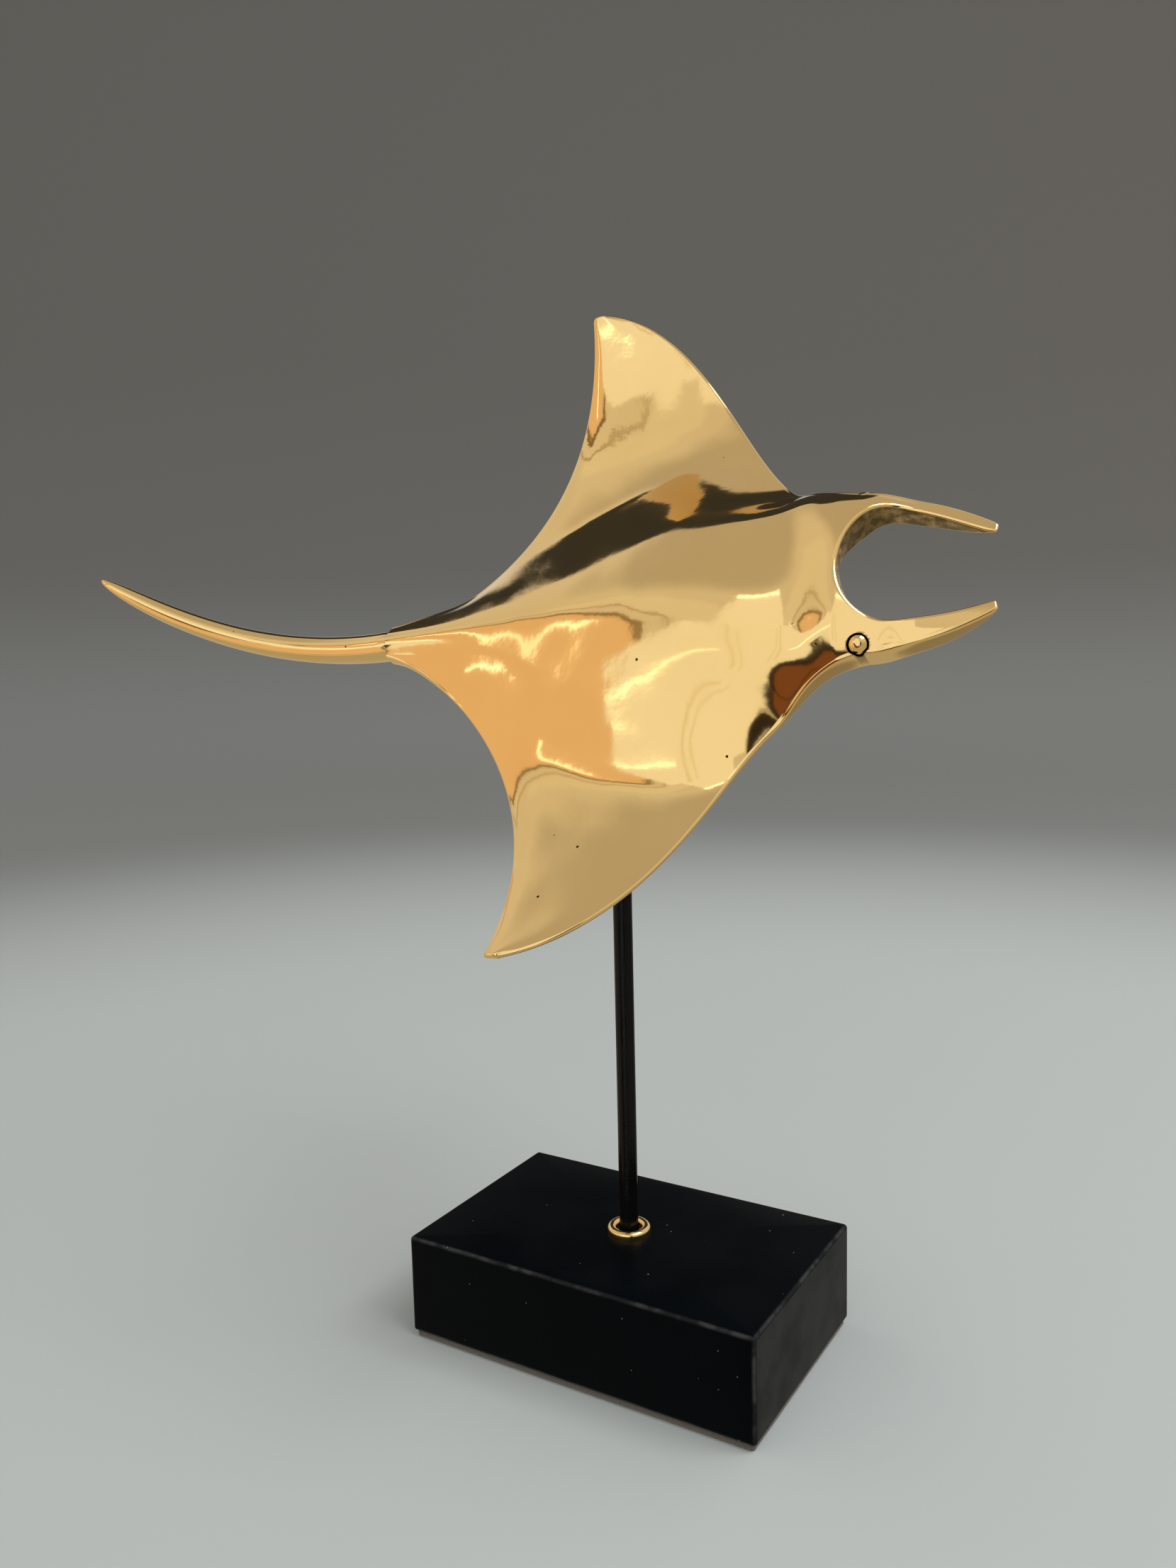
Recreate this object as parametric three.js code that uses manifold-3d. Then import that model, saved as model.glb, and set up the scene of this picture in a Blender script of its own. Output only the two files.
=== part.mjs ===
// Manta ray sculpture on a rod stand: a polished brass ray banking over a black block.
// Millimetres, +Z up. The origin is the centre of the base's underside, X runs along the base.
import * as THREE from 'three';
import { RoundedBoxGeometry } from 'three/addons/geometries/RoundedBoxGeometry.js';
import { mergeVertices } from 'three/addons/utils/BufferGeometryUtils.js';
import Module from 'manifold-3d';

const wasm = await Module();
wasm.setup();

// Fits: radial room round pins and in pockets, and the seat gap between brazed or resting pieces.
const FIT_CLEARANCE = 0.3;
const SEAT_GAP = 0.3;

// Base: block, felt under it, and the fixings of the rod in its recess.
const BASE_LENGTH = 120;
const BASE_WIDTH = 75;
const BLOCK_HEIGHT = 32;
const BLOCK_EDGE_RADIUS = 1.2;
const FELT_THICKNESS = 2;
const FELT_INSET = 0.8;
const INSERT_WALL = 1.7;
const INSERT_DEPTH = 7.4;
const WASHER_WIDTH = 2.7;
const WASHER_THICKNESS = 1.6;
const NUT_WALL = 1.7;
const NUT_HEIGHT = 5;
const SPANNER_ROOM = 5;
const ROD_END_BEYOND_NUT = 3;
const ROD_END_ROOM = 2;

// Rod and the brass collar round its foot.
const ROD_DIAMETER = 6;
const ROD_CHAMFER = 0.6;
const SPIGOT_SHOULDER = 1;
const SPIGOT_END_ROOM = 5.3;
const COLLAR_ROOM = 1.1;
const COLLAR_WIDTH = 2.9;
const COLLAR_HEIGHT = 2.2;
const COLLAR_EDGE_HEIGHT = 0.9;

// How the ray hangs on the rod: its reference point lies on the rod's axis.
const RAY_HEIGHT = 231;
const RAY_HEADING = THREE.MathUtils.degToRad(3.4);
const RAY_NOSE_UP = THREE.MathUtils.degToRad(5.8);
const RAY_BANK = THREE.MathUtils.degToRad(59.9);
const BUSH_WALL = 2.2;
const BUSH_ABOVE = 7;
const BUSH_BELOW = 26;
const ROD_GROOVE_LENGTH = 60;

// Plan of the ray in its own frame: x forward, y to its left wing, z out of its back.
const HALF_SPAN = 110.3;
const WING_TIP_X = -16;
const WING_TIP_CHORD = 4;
const TAIL_ROOT_X = -84;
const TAIL_ROOT_RADIUS = 5;
const MOUTH_BACK_X = 69.5;
const MOUTH_DEPTH = 14.5;
const MOUTH_HALF_WIDTH = 18.2;
const MOUTH_SKEW = 1.1;
const HORN_ROOT_WIDTH = 5;
const HORN_ROOT_SLANT = 7;
const HORN_LENGTH = 26;
const HORN_TURN_IN = 6.2;
const HORN_TIP_WIDTH = 1.6;

// Handles of the edge curves, as reaches [x, y] from the ends that they start at.
const TRAILING_ROOT_REACH = [22, 5];
const TRAILING_TIP_REACH = [-5.3, -63];
const LEADING_TIP_REACH = [45.5, -11.8];
const LEADING_HEAD_REACH = [-44.9, 6.2];
const MOUTH_BACK_REACH = [0, 9];
const MOUTH_WIDE_REACH = [-8, 0];
const HORN_INSIDE_ROOT_REACH = [7, 0.4];
const HORN_INSIDE_TIP_REACH = [-6, 2.2];
const HORN_OUTSIDE_ROOT_REACH = [13, 0];
const HORN_OUTSIDE_TIP_REACH = [-9, 5.5];

// Height of the wings' middle sheet: it falls from the back to the shoulders and rises to the tips.
const SHOULDER_SLOPE = 0.436;
const WING_TIP_LIFT = 59.34;
const BACK_ROUNDING = 10.3;

// Body from tail root to mouth, as control values of cubics: heights of the ridge and of the belly,
// slope and rounding of the flanks that fall from the ridge, and half width of the hollow belly.
const RIDGE_HEIGHTS = [TAIL_ROOT_RADIUS, 1.5, 20.4, 2.1];
const BELLY_HEIGHTS = [-TAIL_ROOT_RADIUS, -3, 1, 0];
const FLANK_SLOPES = [0.79, 0.23, 0.495, 0.475];
const FLANK_ROUNDINGS = [2.6, 2, 12.2, 42];
const BELLY_HALF_WIDTHS = [5, 22, 34, 30];
const FLANK_BLEND = 1.84;
const FLANK_FADE_SHARE = 0.3;
const TAIL_FAIRING_LENGTH = 28;

// Thickness of the wings on each side of the middle sheet, and the roundness of their edges.
const WING_HALF_ROOT = 3.2;
const WING_HALF_TIP = 1.4;
const EDGE_HALF = 0.9;
const SWELL_POWER = 4;
const WING_EDGE_BULGE = 1;
const HORN_EDGE_BULGE = 1.2;
const MOUTH_EDGE_BULGE = 1;

// Heights of the head's and horns' upper and lower faces, from behind the mouth to the horn tips.
const HEAD_BLEND_LENGTH = 22.6;
const HEAD_FULL_PAST_MOUTH = 2;
const HEAD_SHOULDER_WIDTH = 27;
const HORN_TOP_HEIGHTS = [7.8, 6.8, -1.2, -3.8];
const HORN_BOTTOM_HEIGHTS = [-4.5, -5, -9.4, -7.6];
const CHEEK_DROP = 4;
const CHEEK_WIDTH = 19.2;
const CHEEK_POWER = 4;
const CHEEK_BLEND_LENGTH = 36;
const HEAD_ROLL = THREE.MathUtils.degToRad(6);
const HEAD_ROLL_GAIN_LENGTH = 32;
const HEAD_ROLL_FADE_LENGTH = 16;
const PALATE_RISE = 8;
const PALATE_HALF_WIDTH = 11;

// Tail: a whip that leaves along the body and curls up to one side, in a plane turned out of level.
const TAIL_LENGTH_X = 118;
const TAIL_SIDEWAYS = 41;
const TAIL_ROOT_REACH = 41;
const TAIL_TIP_REACH = [37, -28];
const TAIL_PLANE_TURN = THREE.MathUtils.degToRad(50);
const TAIL_TIP_RADIUS = 3.1;
const TAIL_POINT_SHARPNESS = 10;
const TAIL_SHOULDER = 2;
const TAIL_SPIGOT_LENGTH = 8;

// Eyes: balls set in round pockets at the head's corners.
const EYE_DIAMETER = 6.4;
const EYE_POCKET_ROOM = 0.7;
const EYE_BEHIND_CORNER = 1.4;
const EYE_INSIDE_CORNER = 1.3;
const EYE_SKEW = 1;
const EYE_SINK = 3.3;
const EYE_SINK_UNEVEN = 0.6;

// Grid counts of the ray's surface and of round pieces.
const BODY_ROWS = 4;
const HORN_ROWS = 2;
const WING_ROWS = 18;
const CHORD_STEPS = 22;
const HORN_STEPS = 9;
const EDGE_STEPS = 4;
const ROUND_STEPS = 32;
const COLLAR_STEPS = 6;
const BLOCK_EDGE_STEPS = 2;
const EYE_MERIDIANS = 20;
const EYE_PARALLELS = 12;
const TAIL_STEPS = 28;
const TAIL_SIDES = 16;

const brass = () => new THREE.MeshStandardMaterial({ color: 0xc79a4b, roughness: 0.14, metalness: 1 });
const blackPaint = () => new THREE.MeshStandardMaterial({ color: 0x121214, roughness: 0.3, metalness: 0 });
const zincSteel = () => new THREE.MeshStandardMaterial({ color: 0x9a9c9e, roughness: 0.35, metalness: 1 });
const felt = () => new THREE.MeshStandardMaterial({ color: 0x4a443c, roughness: 1, metalness: 0 });

// Closed mesh geometry to a solid that can be cut, and back.
function solidOf(geometry) {
  const bare = geometry.clone();
  bare.deleteAttribute('normal');
  bare.deleteAttribute('uv');
  const merged = mergeVertices(bare, 1e-4);
  return new wasm.Manifold(new wasm.Mesh({
    numProp: 3,
    vertProperties: new Float32Array(merged.attributes.position.array),
    triVerts: new Uint32Array(merged.index.array),
  }));
}

function geometryOf(solid) {
  const mesh = solid.getMesh();
  const geometry = new THREE.BufferGeometry();
  geometry.setAttribute('position', new THREE.BufferAttribute(new Float32Array(mesh.vertProperties), 3));
  geometry.setIndex(new THREE.BufferAttribute(new Uint32Array(mesh.triVerts), 1));
  geometry.computeVertexNormals();
  return geometry;
}

function cut(geometry, ...tools) {
  return geometryOf(tools.reduce((solid, tool) => solid.subtract(solidOf(tool)), solidOf(geometry)));
}

// A turned piece about Z: profile points are [radius, height], listed from its top to its foot.
function turned(profile) {
  const points = profile.map(([radius, height]) => new THREE.Vector2(radius, height)).reverse();
  return new THREE.LatheGeometry(points, ROUND_STEPS).rotateX(Math.PI / 2);
}

// A plain rod about Z between two heights.
function rodBetween(radius, low, high) {
  return turned([[0, high], [radius, high], [radius, low], [0, low]]);
}

// A plain ring about Z between two heights.
function ringBetween(inner, outer, low, high) {
  return turned([[inner, high], [outer, high], [outer, low], [inner, low], [inner, high]]);
}

function named(name, geometry, material) {
  const mesh = new THREE.Mesh(geometry, material);
  mesh.name = name;
  return mesh;
}

// Smooth step from 0 at the first value to 1 at the second.
const ease = (from, to, value) => THREE.MathUtils.smootherstep(value, from, to);

// Value of a cubic with four control values, at a share from 0 to 1.
function cubic([a, b, c, d], share) {
  const rest = 1 - share;
  return a * rest ** 3 + 3 * b * share * rest ** 2 + 3 * c * share ** 2 * rest + d * share ** 3;
}

// A plan curve between two points, with a handle reaching from each.
function edgeCurve(start, startReach, end, endReach) {
  const from = new THREE.Vector2(...start);
  const to = new THREE.Vector2(...end);
  const fromHandle = from.clone().add(new THREE.Vector2(...startReach));
  const toHandle = to.clone().add(new THREE.Vector2(...endReach));
  return new THREE.CubicBezierCurve(from, fromHandle, toHandle, to);
}

const tailRootSide = [TAIL_ROOT_X, TAIL_ROOT_RADIUS];
const mouthWide = [MOUTH_BACK_X + MOUTH_DEPTH, MOUTH_HALF_WIDTH];
const headHalfWidth = MOUTH_HALF_WIDTH + HORN_ROOT_WIDTH;
const headCorner = [mouthWide[0] - HORN_ROOT_SLANT, headHalfWidth];
const hornTipX = mouthWide[0] + HORN_LENGTH;
const hornTipY = MOUTH_HALF_WIDTH - HORN_TURN_IN;
const trailingEdge = edgeCurve(
  tailRootSide, TRAILING_ROOT_REACH, [WING_TIP_X - WING_TIP_CHORD / 2, HALF_SPAN], TRAILING_TIP_REACH);
const leadingEdge = edgeCurve(
  headCorner, LEADING_HEAD_REACH, [WING_TIP_X + WING_TIP_CHORD / 2, HALF_SPAN], LEADING_TIP_REACH);
// The mouth sits a little to the left: side is 1 for the left half, -1 for the right half.
const hornRoot = (side) => [mouthWide[0], mouthWide[1] + side * MOUTH_SKEW];
const mouthEdgeOn = (side) => edgeCurve(
  [MOUTH_BACK_X, 0], MOUTH_BACK_REACH, hornRoot(side), MOUTH_WIDE_REACH);
const hornInsideOn = (side) => edgeCurve(hornRoot(side), HORN_INSIDE_ROOT_REACH,
  [hornTipX, hornTipY - HORN_TIP_WIDTH / 2], HORN_INSIDE_TIP_REACH);
const hornOutside = edgeCurve(headCorner, HORN_OUTSIDE_ROOT_REACH,
  [hornTipX, hornTipY + HORN_TIP_WIDTH / 2], HORN_OUTSIDE_TIP_REACH);

// Upper and lower height of the casting over a plan point. chordShare runs 0 to 1 from the rear edge to
// the front edge, and spanShare 0 to 1 from the body to the wing tip.
function heights(x, y, chordShare, spanShare) {
  const bodyShare = THREE.MathUtils.clamp((x - TAIL_ROOT_X) / (MOUTH_BACK_X - TAIL_ROOT_X), 0, 1);
  const sheetAt = (side) => WING_TIP_LIFT * (side / HALF_SPAN) ** 2
    - SHOULDER_SLOPE * Math.hypot(side, BACK_ROUNDING);
  const fairing = ease(TAIL_ROOT_X, TAIL_ROOT_X + TAIL_FAIRING_LENGTH, x);
  const sheet = sheetAt(y) * fairing;
  const chordSwell = 1 - Math.abs(2 * chordShare - 1) ** SWELL_POWER;
  const wingHalf = THREE.MathUtils.lerp(WING_HALF_ROOT, WING_HALF_TIP, y / HALF_SPAN);
  const half = EDGE_HALF + (wingHalf - EDGE_HALF) * chordSwell;
  // Flanks fall from the ridge and run out into the wings, and thin out towards the wings' edges.
  const thinning = 1 - (1 - chordSwell) * ease(0, FLANK_FADE_SHARE, spanShare);
  const rounding = cubic(FLANK_ROUNDINGS, bodyShare);
  const flank = cubic(RIDGE_HEIGHTS, bodyShare)
    - cubic(FLANK_SLOPES, bodyShare) * (Math.hypot(y, rounding) - rounding);
  const proud = flank - (sheet + half);
  const bodyTop = sheet + half + thinning * (proud + Math.hypot(proud, FLANK_BLEND)) / 2;
  const hollow = Math.exp(-((y / cubic(BELLY_HALF_WIDTHS, bodyShare)) ** 2));
  const bellyRise = cubic(BELLY_HEIGHTS, bodyShare) - sheetAt(0) * fairing + half;
  const bodyBottom = sheet - half + thinning * bellyRise * hollow;
  // The head is a slab that the horns grow from, with the roof of the mouth arched under its middle.
  const hornShare = THREE.MathUtils.clamp((x - MOUTH_BACK_X) / (hornTipX - MOUTH_BACK_X), 0, 1);
  const headEdge = headHalfWidth + HORN_EDGE_BULGE;
  const head = ease(MOUTH_BACK_X - HEAD_BLEND_LENGTH, MOUTH_BACK_X + HEAD_FULL_PAST_MOUTH, x)
    * (1 - ease(headEdge, headEdge + HEAD_SHOULDER_WIDTH, y));
  const palate = PALATE_RISE * Math.exp(-((y / PALATE_HALF_WIDTH) ** 2));
  // Its top is domed and falls away to the cheeks, ever steeper towards the eyes.
  const cheekShare = Math.max(0, y - headHalfWidth + CHEEK_WIDTH) / CHEEK_WIDTH;
  const cheek = CHEEK_DROP * cheekShare ** CHEEK_POWER
    * ease(headCorner[0] - CHEEK_BLEND_LENGTH, headCorner[0], x);
  return [
    THREE.MathUtils.lerp(bodyTop, cubic(HORN_TOP_HEIGHTS, hornShare) - cheek, head),
    THREE.MathUtils.lerp(bodyBottom, cubic(HORN_BOTTOM_HEIGHTS, hornShare) + palate, head),
  ];
}

// Lift of a plan point from the head's slight roll, which fades into the body and along the horns.
function rollLift(x, y) {
  const gain = ease(MOUTH_BACK_X - HEAD_ROLL_GAIN_LENGTH, MOUTH_BACK_X, x);
  const fade = ease(headCorner[0], headCorner[0] + HEAD_ROLL_FADE_LENGTH, x);
  return y * Math.tan(HEAD_ROLL) * gain * (1 - fade);
}

// One half of the casting as loose triangles: side is 1 for the left half, -1 for the right half.
function halfCasting(side, triangles) {
  const column = (x, y, chordShare, spanShare) => {
    const [top, bottom] = heights(x, y, chordShare, spanShare);
    const lift = rollLift(x, side * y);
    return { x, y, top: top + lift, bottom: bottom + lift };
  };
  const mouthEdge = mouthEdgeOn(side);
  const hornInside = hornInsideOn(side);
  // Chords from the rear edge to the front edge, first through the body, then the horn, then the wing.
  const bodyChords = BODY_ROWS + HORN_ROWS;
  const chords = [];
  for (let row = 0; row <= bodyChords + WING_ROWS; row += 1) {
    const wingShare = Math.max(0, row - bodyChords) / WING_ROWS;
    const spread = (1 - Math.cos(Math.PI * wingShare)) / 2;
    let rear = trailingEdge.getPoint(spread);
    let front = leadingEdge.getPoint(spread);
    if (row <= bodyChords) {
      rear = new THREE.Vector2(TAIL_ROOT_X, TAIL_ROOT_RADIUS * row / bodyChords);
      const hornPart = (row - BODY_ROWS) / HORN_ROWS;
      front = row <= BODY_ROWS
        ? mouthEdge.getPoint(row / BODY_ROWS)
        : new THREE.Vector2(...hornRoot(side)).lerp(new THREE.Vector2(...headCorner), hornPart);
    }
    const chord = [];
    for (let step = 0; step <= CHORD_STEPS; step += 1) {
      const share = (1 - Math.cos(Math.PI * step / CHORD_STEPS)) / 2;
      const point = rear.clone().lerp(front, share);
      chord.push(column(point.x, point.y, share, spread));
    }
    chords.push(chord);
  }
  // Ribs across the horn, from its root line to its tip.
  const ribs = [];
  for (let step = 0; step <= HORN_STEPS; step += 1) {
    const inside = hornInside.getPoint(step / HORN_STEPS);
    const outside = hornOutside.getPoint(step / HORN_STEPS);
    const rib = [];
    for (let part = 0; part <= HORN_ROWS; part += 1) {
      const point = inside.clone().lerp(outside, part / HORN_ROWS);
      rib.push(step === 0 ? chords[BODY_ROWS + part][CHORD_STEPS] : column(point.x, point.y, 1, 0));
    }
    ribs.push(rib);
  }
  const tri = (a, b, c) => triangles.push(...(side > 0 ? [a, b, c] : [a, c, b]).map(
    ([x, y, z]) => [x, side * y, z]));
  const quad = (a, b, c, d) => {
    tri(a, b, c);
    tri(a, c, d);
  };
  const topOf = (p) => [p.x, p.y, p.top];
  const bottomOf = (p) => [p.x, p.y, p.bottom];
  const sheets = (grid) => {
    for (let i = 1; i < grid.length; i += 1) {
      for (let j = 1; j < grid[i].length; j += 1) {
        const ring = [grid[i - 1][j - 1], grid[i - 1][j], grid[i][j], grid[i][j - 1]];
        quad(...ring.map(topOf));
        quad(...ring.map(bottomOf).reverse());
      }
    }
  };
  sheets(chords);
  sheets(ribs[0].map((unused, part) => ribs.map((rib) => rib[part])));

  // The rim, walked from the mouth's middle round the horn and the wing to the tail root's middle.
  const last = chords.length - 1;
  const rim = [];
  const walk = (points, bulge) => points.forEach((p) => rim.push({ ...p, bulge }));
  walk(chords.slice(0, BODY_ROWS + 1).map((chord) => chord[CHORD_STEPS]), MOUTH_EDGE_BULGE);
  walk(ribs.slice(1, HORN_STEPS).map((rib) => rib[0]), MOUTH_EDGE_BULGE);
  walk(ribs[HORN_STEPS], HORN_EDGE_BULGE);
  walk(ribs.slice(0, HORN_STEPS).reverse().map((rib) => rib[HORN_ROWS]), HORN_EDGE_BULGE);
  walk(chords.slice(bodyChords + 1, last).map((chord) => chord[CHORD_STEPS]), WING_EDGE_BULGE);
  walk(chords[last].slice().reverse(), WING_EDGE_BULGE);
  walk(chords.slice(bodyChords + 1, last).reverse().map((chord) => chord[0]), WING_EDGE_BULGE);
  walk(chords.slice(0, bodyChords + 1).reverse().map((chord) => chord[0]), 0);
  const edges = rim.map((p, i) => {
    const before = rim[Math.max(i - 1, 0)];
    const after = rim[Math.min(i + 1, rim.length - 1)];
    const run = new THREE.Vector2(after.x - before.x, i === 0 ? 1 : after.y - before.y).normalize();
    const out = i === 0 ? new THREE.Vector2(1, 0) : new THREE.Vector2(run.y, -run.x);
    const middle = (p.top + p.bottom) / 2;
    const half = (p.top - p.bottom) / 2;
    const profile = [];
    for (let step = 0; step <= EDGE_STEPS; step += 1) {
      const angle = Math.PI * (0.5 - step / EDGE_STEPS);
      const reach = p.bulge * (step % EDGE_STEPS === 0 ? 0 : Math.cos(angle));
      profile.push([p.x + out.x * reach, p.y + out.y * reach, middle + half * Math.sin(angle)]);
    }
    return profile;
  });
  for (let i = 1; i < edges.length; i += 1) {
    for (let step = 1; step <= EDGE_STEPS; step += 1) {
      quad(edges[i - 1][step - 1], edges[i - 1][step], edges[i][step], edges[i][step - 1]);
    }
  }
}

function castingBlank() {
  const triangles = [];
  halfCasting(1, triangles);
  halfCasting(-1, triangles);
  const geometry = new THREE.BufferGeometry();
  geometry.setAttribute('position', new THREE.Float32BufferAttribute(triangles.flat(), 3));
  return mergeVertices(geometry, 1e-4);
}

// The tail's middle line in the ray's frame.
function tailLine() {
  const side = new THREE.Vector3(0, Math.cos(TAIL_PLANE_TURN), Math.sin(TAIL_PLANE_TURN));
  const at = (back, sideways) => new THREE.Vector3(TAIL_ROOT_X - SEAT_GAP - back, 0, 0)
    .addScaledVector(side, sideways);
  return new THREE.CubicBezierCurve3(
    at(0, 0),
    at(TAIL_ROOT_REACH, 0),
    at(TAIL_LENGTH_X - TAIL_TIP_REACH[0], TAIL_SIDEWAYS + TAIL_TIP_REACH[1]),
    at(TAIL_LENGTH_X, TAIL_SIDEWAYS));
}

// The tail: rings along its middle line that taper to a point, with a spigot at the root.
function tailGeometry() {
  const line = tailLine();
  const across = new THREE.Vector3(0, -Math.sin(TAIL_PLANE_TURN), Math.cos(TAIL_PLANE_TURN));
  const rings = [];
  const ring = (centre, along, radius) => {
    const up = new THREE.Vector3().crossVectors(across, along).normalize();
    rings.push(Array.from({ length: TAIL_SIDES }, (unused, k) => {
      const angle = 2 * Math.PI * k / TAIL_SIDES;
      return centre.clone()
        .addScaledVector(across, radius * Math.cos(angle))
        .addScaledVector(up, radius * Math.sin(angle));
    }));
  };
  const forward = new THREE.Vector3(1, 0, 0);
  const root = line.getPoint(0);
  const spigotRadius = TAIL_ROOT_RADIUS - TAIL_SHOULDER;
  const spigotEnd = root.clone().addScaledVector(forward, TAIL_SPIGOT_LENGTH);
  ring(spigotEnd, forward.clone().negate(), spigotRadius);
  ring(root, forward.clone().negate(), spigotRadius);
  for (let step = 0; step < TAIL_STEPS; step += 1) {
    const share = Math.sin(Math.PI / 2 * step / TAIL_STEPS);
    const taper = THREE.MathUtils.lerp(TAIL_ROOT_RADIUS, TAIL_TIP_RADIUS, share);
    ring(line.getPoint(share), line.getTangent(share), taper * Math.sqrt(1 - share ** TAIL_POINT_SHARPNESS));
  }
  const points = [spigotEnd, ...rings.flat(), line.getPoint(1)];
  const indices = [];
  const at = (row, k) => 1 + row * TAIL_SIDES + k % TAIL_SIDES;
  for (let k = 0; k < TAIL_SIDES; k += 1) {
    indices.push(0, at(0, k), at(0, k + 1));
    for (let row = 1; row < rings.length; row += 1) {
      indices.push(at(row - 1, k), at(row, k + 1), at(row - 1, k + 1));
      indices.push(at(row - 1, k), at(row, k), at(row, k + 1));
    }
    indices.push(at(rings.length - 1, k), points.length - 1, at(rings.length - 1, k + 1));
  }
  const geometry = new THREE.BufferGeometry().setFromPoints(points);
  geometry.setIndex(indices);
  geometry.computeVertexNormals();
  return geometry;
}

// Stack of heights in the base, from the surface that it stands on.
const blockTop = FELT_THICKNESS + BLOCK_HEIGHT;
const rodFoot = FELT_THICKNESS + ROD_END_ROOM;
const nutFoot = rodFoot + ROD_END_BEYOND_NUT;
const washerFoot = nutFoot + NUT_HEIGHT;
const recessRoof = washerFoot + WASHER_THICKNESS;
const insertTop = blockTop - INSERT_DEPTH;
const bushFoot = RAY_HEIGHT - BUSH_BELOW;
const bushTop = RAY_HEIGHT + BUSH_ABOVE;
const rodShoulder = bushFoot - SEAT_GAP;
const spigotTop = bushTop - SPIGOT_END_ROOM;

// Radii of the rod, of what it passes through and of what goes round it.
const rodRadius = ROD_DIAMETER / 2;
const rodHoleRadius = rodRadius + FIT_CLEARANCE;
const insertRadius = rodHoleRadius + INSERT_WALL;
const washerRadius = rodHoleRadius + WASHER_WIDTH;
const spigotRadius = rodRadius - SPIGOT_SHOULDER;
const spigotHoleRadius = spigotRadius + FIT_CLEARANCE;
const bushRadius = spigotHoleRadius + BUSH_WALL;

function baseBlock() {
  const block = new RoundedBoxGeometry(
    BASE_LENGTH, BASE_WIDTH, BLOCK_HEIGHT, BLOCK_EDGE_STEPS, BLOCK_EDGE_RADIUS);
  block.translate(0, 0, FELT_THICKNESS + BLOCK_HEIGHT / 2);
  const recess = rodBetween(washerRadius + SPANNER_ROOM, 0, recessRoof);
  const pocket = rodBetween(insertRadius + FIT_CLEARANCE, 0, insertTop + FIT_CLEARANCE);
  const hole = rodBetween(rodHoleRadius, 0, blockTop + COLLAR_HEIGHT);
  return cut(block, recess, pocket, hole);
}

function feltPad() {
  const pad = new THREE.BoxGeometry(
    BASE_LENGTH - 2 * FELT_INSET, BASE_WIDTH - 2 * FELT_INSET, FELT_THICKNESS);
  return pad.translate(0, 0, FELT_THICKNESS / 2);
}

function hexNut() {
  const outline = new THREE.Shape();
  const cornerRadius = 2 * (rodHoleRadius + NUT_WALL) / Math.sqrt(3);
  for (let corner = 0; corner < 6; corner += 1) {
    const angle = Math.PI / 3 * corner;
    const step = corner === 0 ? 'moveTo' : 'lineTo';
    outline[step](cornerRadius * Math.cos(angle), cornerRadius * Math.sin(angle));
  }
  outline.closePath();
  const bore = new THREE.Path();
  bore.absarc(0, 0, rodHoleRadius, 0, 2 * Math.PI, true);
  outline.holes.push(bore);
  const nut = new THREE.ExtrudeGeometry(outline, {
    depth: NUT_HEIGHT, bevelEnabled: false, curveSegments: ROUND_STEPS / 2,
  });
  return nut.translate(0, 0, nutFoot);
}

function supportRod() {
  return turned([
    [0, spigotTop], [spigotRadius - ROD_CHAMFER, spigotTop], [spigotRadius, spigotTop - ROD_CHAMFER],
    [spigotRadius, rodShoulder], [rodRadius, rodShoulder],
    [rodRadius, rodFoot + ROD_CHAMFER], [rodRadius - ROD_CHAMFER, rodFoot], [0, rodFoot],
  ]);
}

// The collar's section is a flat foot with a half-round top.
function rodCollar() {
  const inner = rodRadius + COLLAR_ROOM;
  const outer = inner + COLLAR_WIDTH;
  const profile = [[inner, blockTop]];
  for (let step = 0; step <= COLLAR_STEPS; step += 1) {
    const angle = Math.PI * (1 - step / COLLAR_STEPS);
    const radius = (inner + outer) / 2 + (outer - inner) / 2 * Math.cos(angle);
    const crown = (COLLAR_HEIGHT - COLLAR_EDGE_HEIGHT) * Math.sin(angle);
    profile.push([radius, blockTop + COLLAR_EDGE_HEIGHT + crown]);
  }
  profile.push([outer, blockTop], [inner, blockTop]);
  return turned(profile);
}

// The eyes share the mouth's shift to the left, and the left one is set a little deeper.
function eyeBall(side, radius) {
  const x = headCorner[0] - EYE_BEHIND_CORNER;
  const y = headHalfWidth - EYE_INSIDE_CORNER + side * EYE_SKEW;
  const [top] = heights(x, y, 1, 0);
  const middle = top + rollLift(x, side * y) - EYE_SINK - side * EYE_SINK_UNEVEN;
  const ball = new THREE.SphereGeometry(radius, EYE_MERIDIANS, EYE_PARALLELS);
  return ball.translate(x, side * y, middle);
}

const sculpture = new THREE.Group();
const ray = new THREE.Group();
ray.position.set(0, 0, RAY_HEIGHT);
ray.rotation.set(RAY_BANK, -RAY_NOSE_UP, RAY_HEADING, 'ZYX');
ray.updateMatrixWorld(true);

// Pockets in the casting: the upright bush's bore, the tail's socket and the two eye pockets.
// The bore runs on below the bush as a groove, so that the rod stays clear of the belly.
const bushPocket = rodBetween(
  bushRadius + FIT_CLEARANCE, bushFoot - ROD_GROOVE_LENGTH, bushTop + FIT_CLEARANCE);
bushPocket.applyMatrix4(ray.matrixWorld.clone().invert());
const socketDepth = TAIL_SPIGOT_LENGTH + FIT_CLEARANCE;
const socketRadius = TAIL_ROOT_RADIUS - TAIL_SHOULDER + FIT_CLEARANCE;
const tailSocket = rodBetween(socketRadius, -SEAT_GAP, socketDepth);
tailSocket.rotateY(Math.PI / 2);
tailSocket.translate(TAIL_ROOT_X, 0, 0);
const eyePocketRadius = EYE_DIAMETER / 2 + EYE_POCKET_ROOM;
const casting = cut(
  castingBlank(), bushPocket, tailSocket, eyeBall(1, eyePocketRadius), eyeBall(-1, eyePocketRadius));

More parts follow.
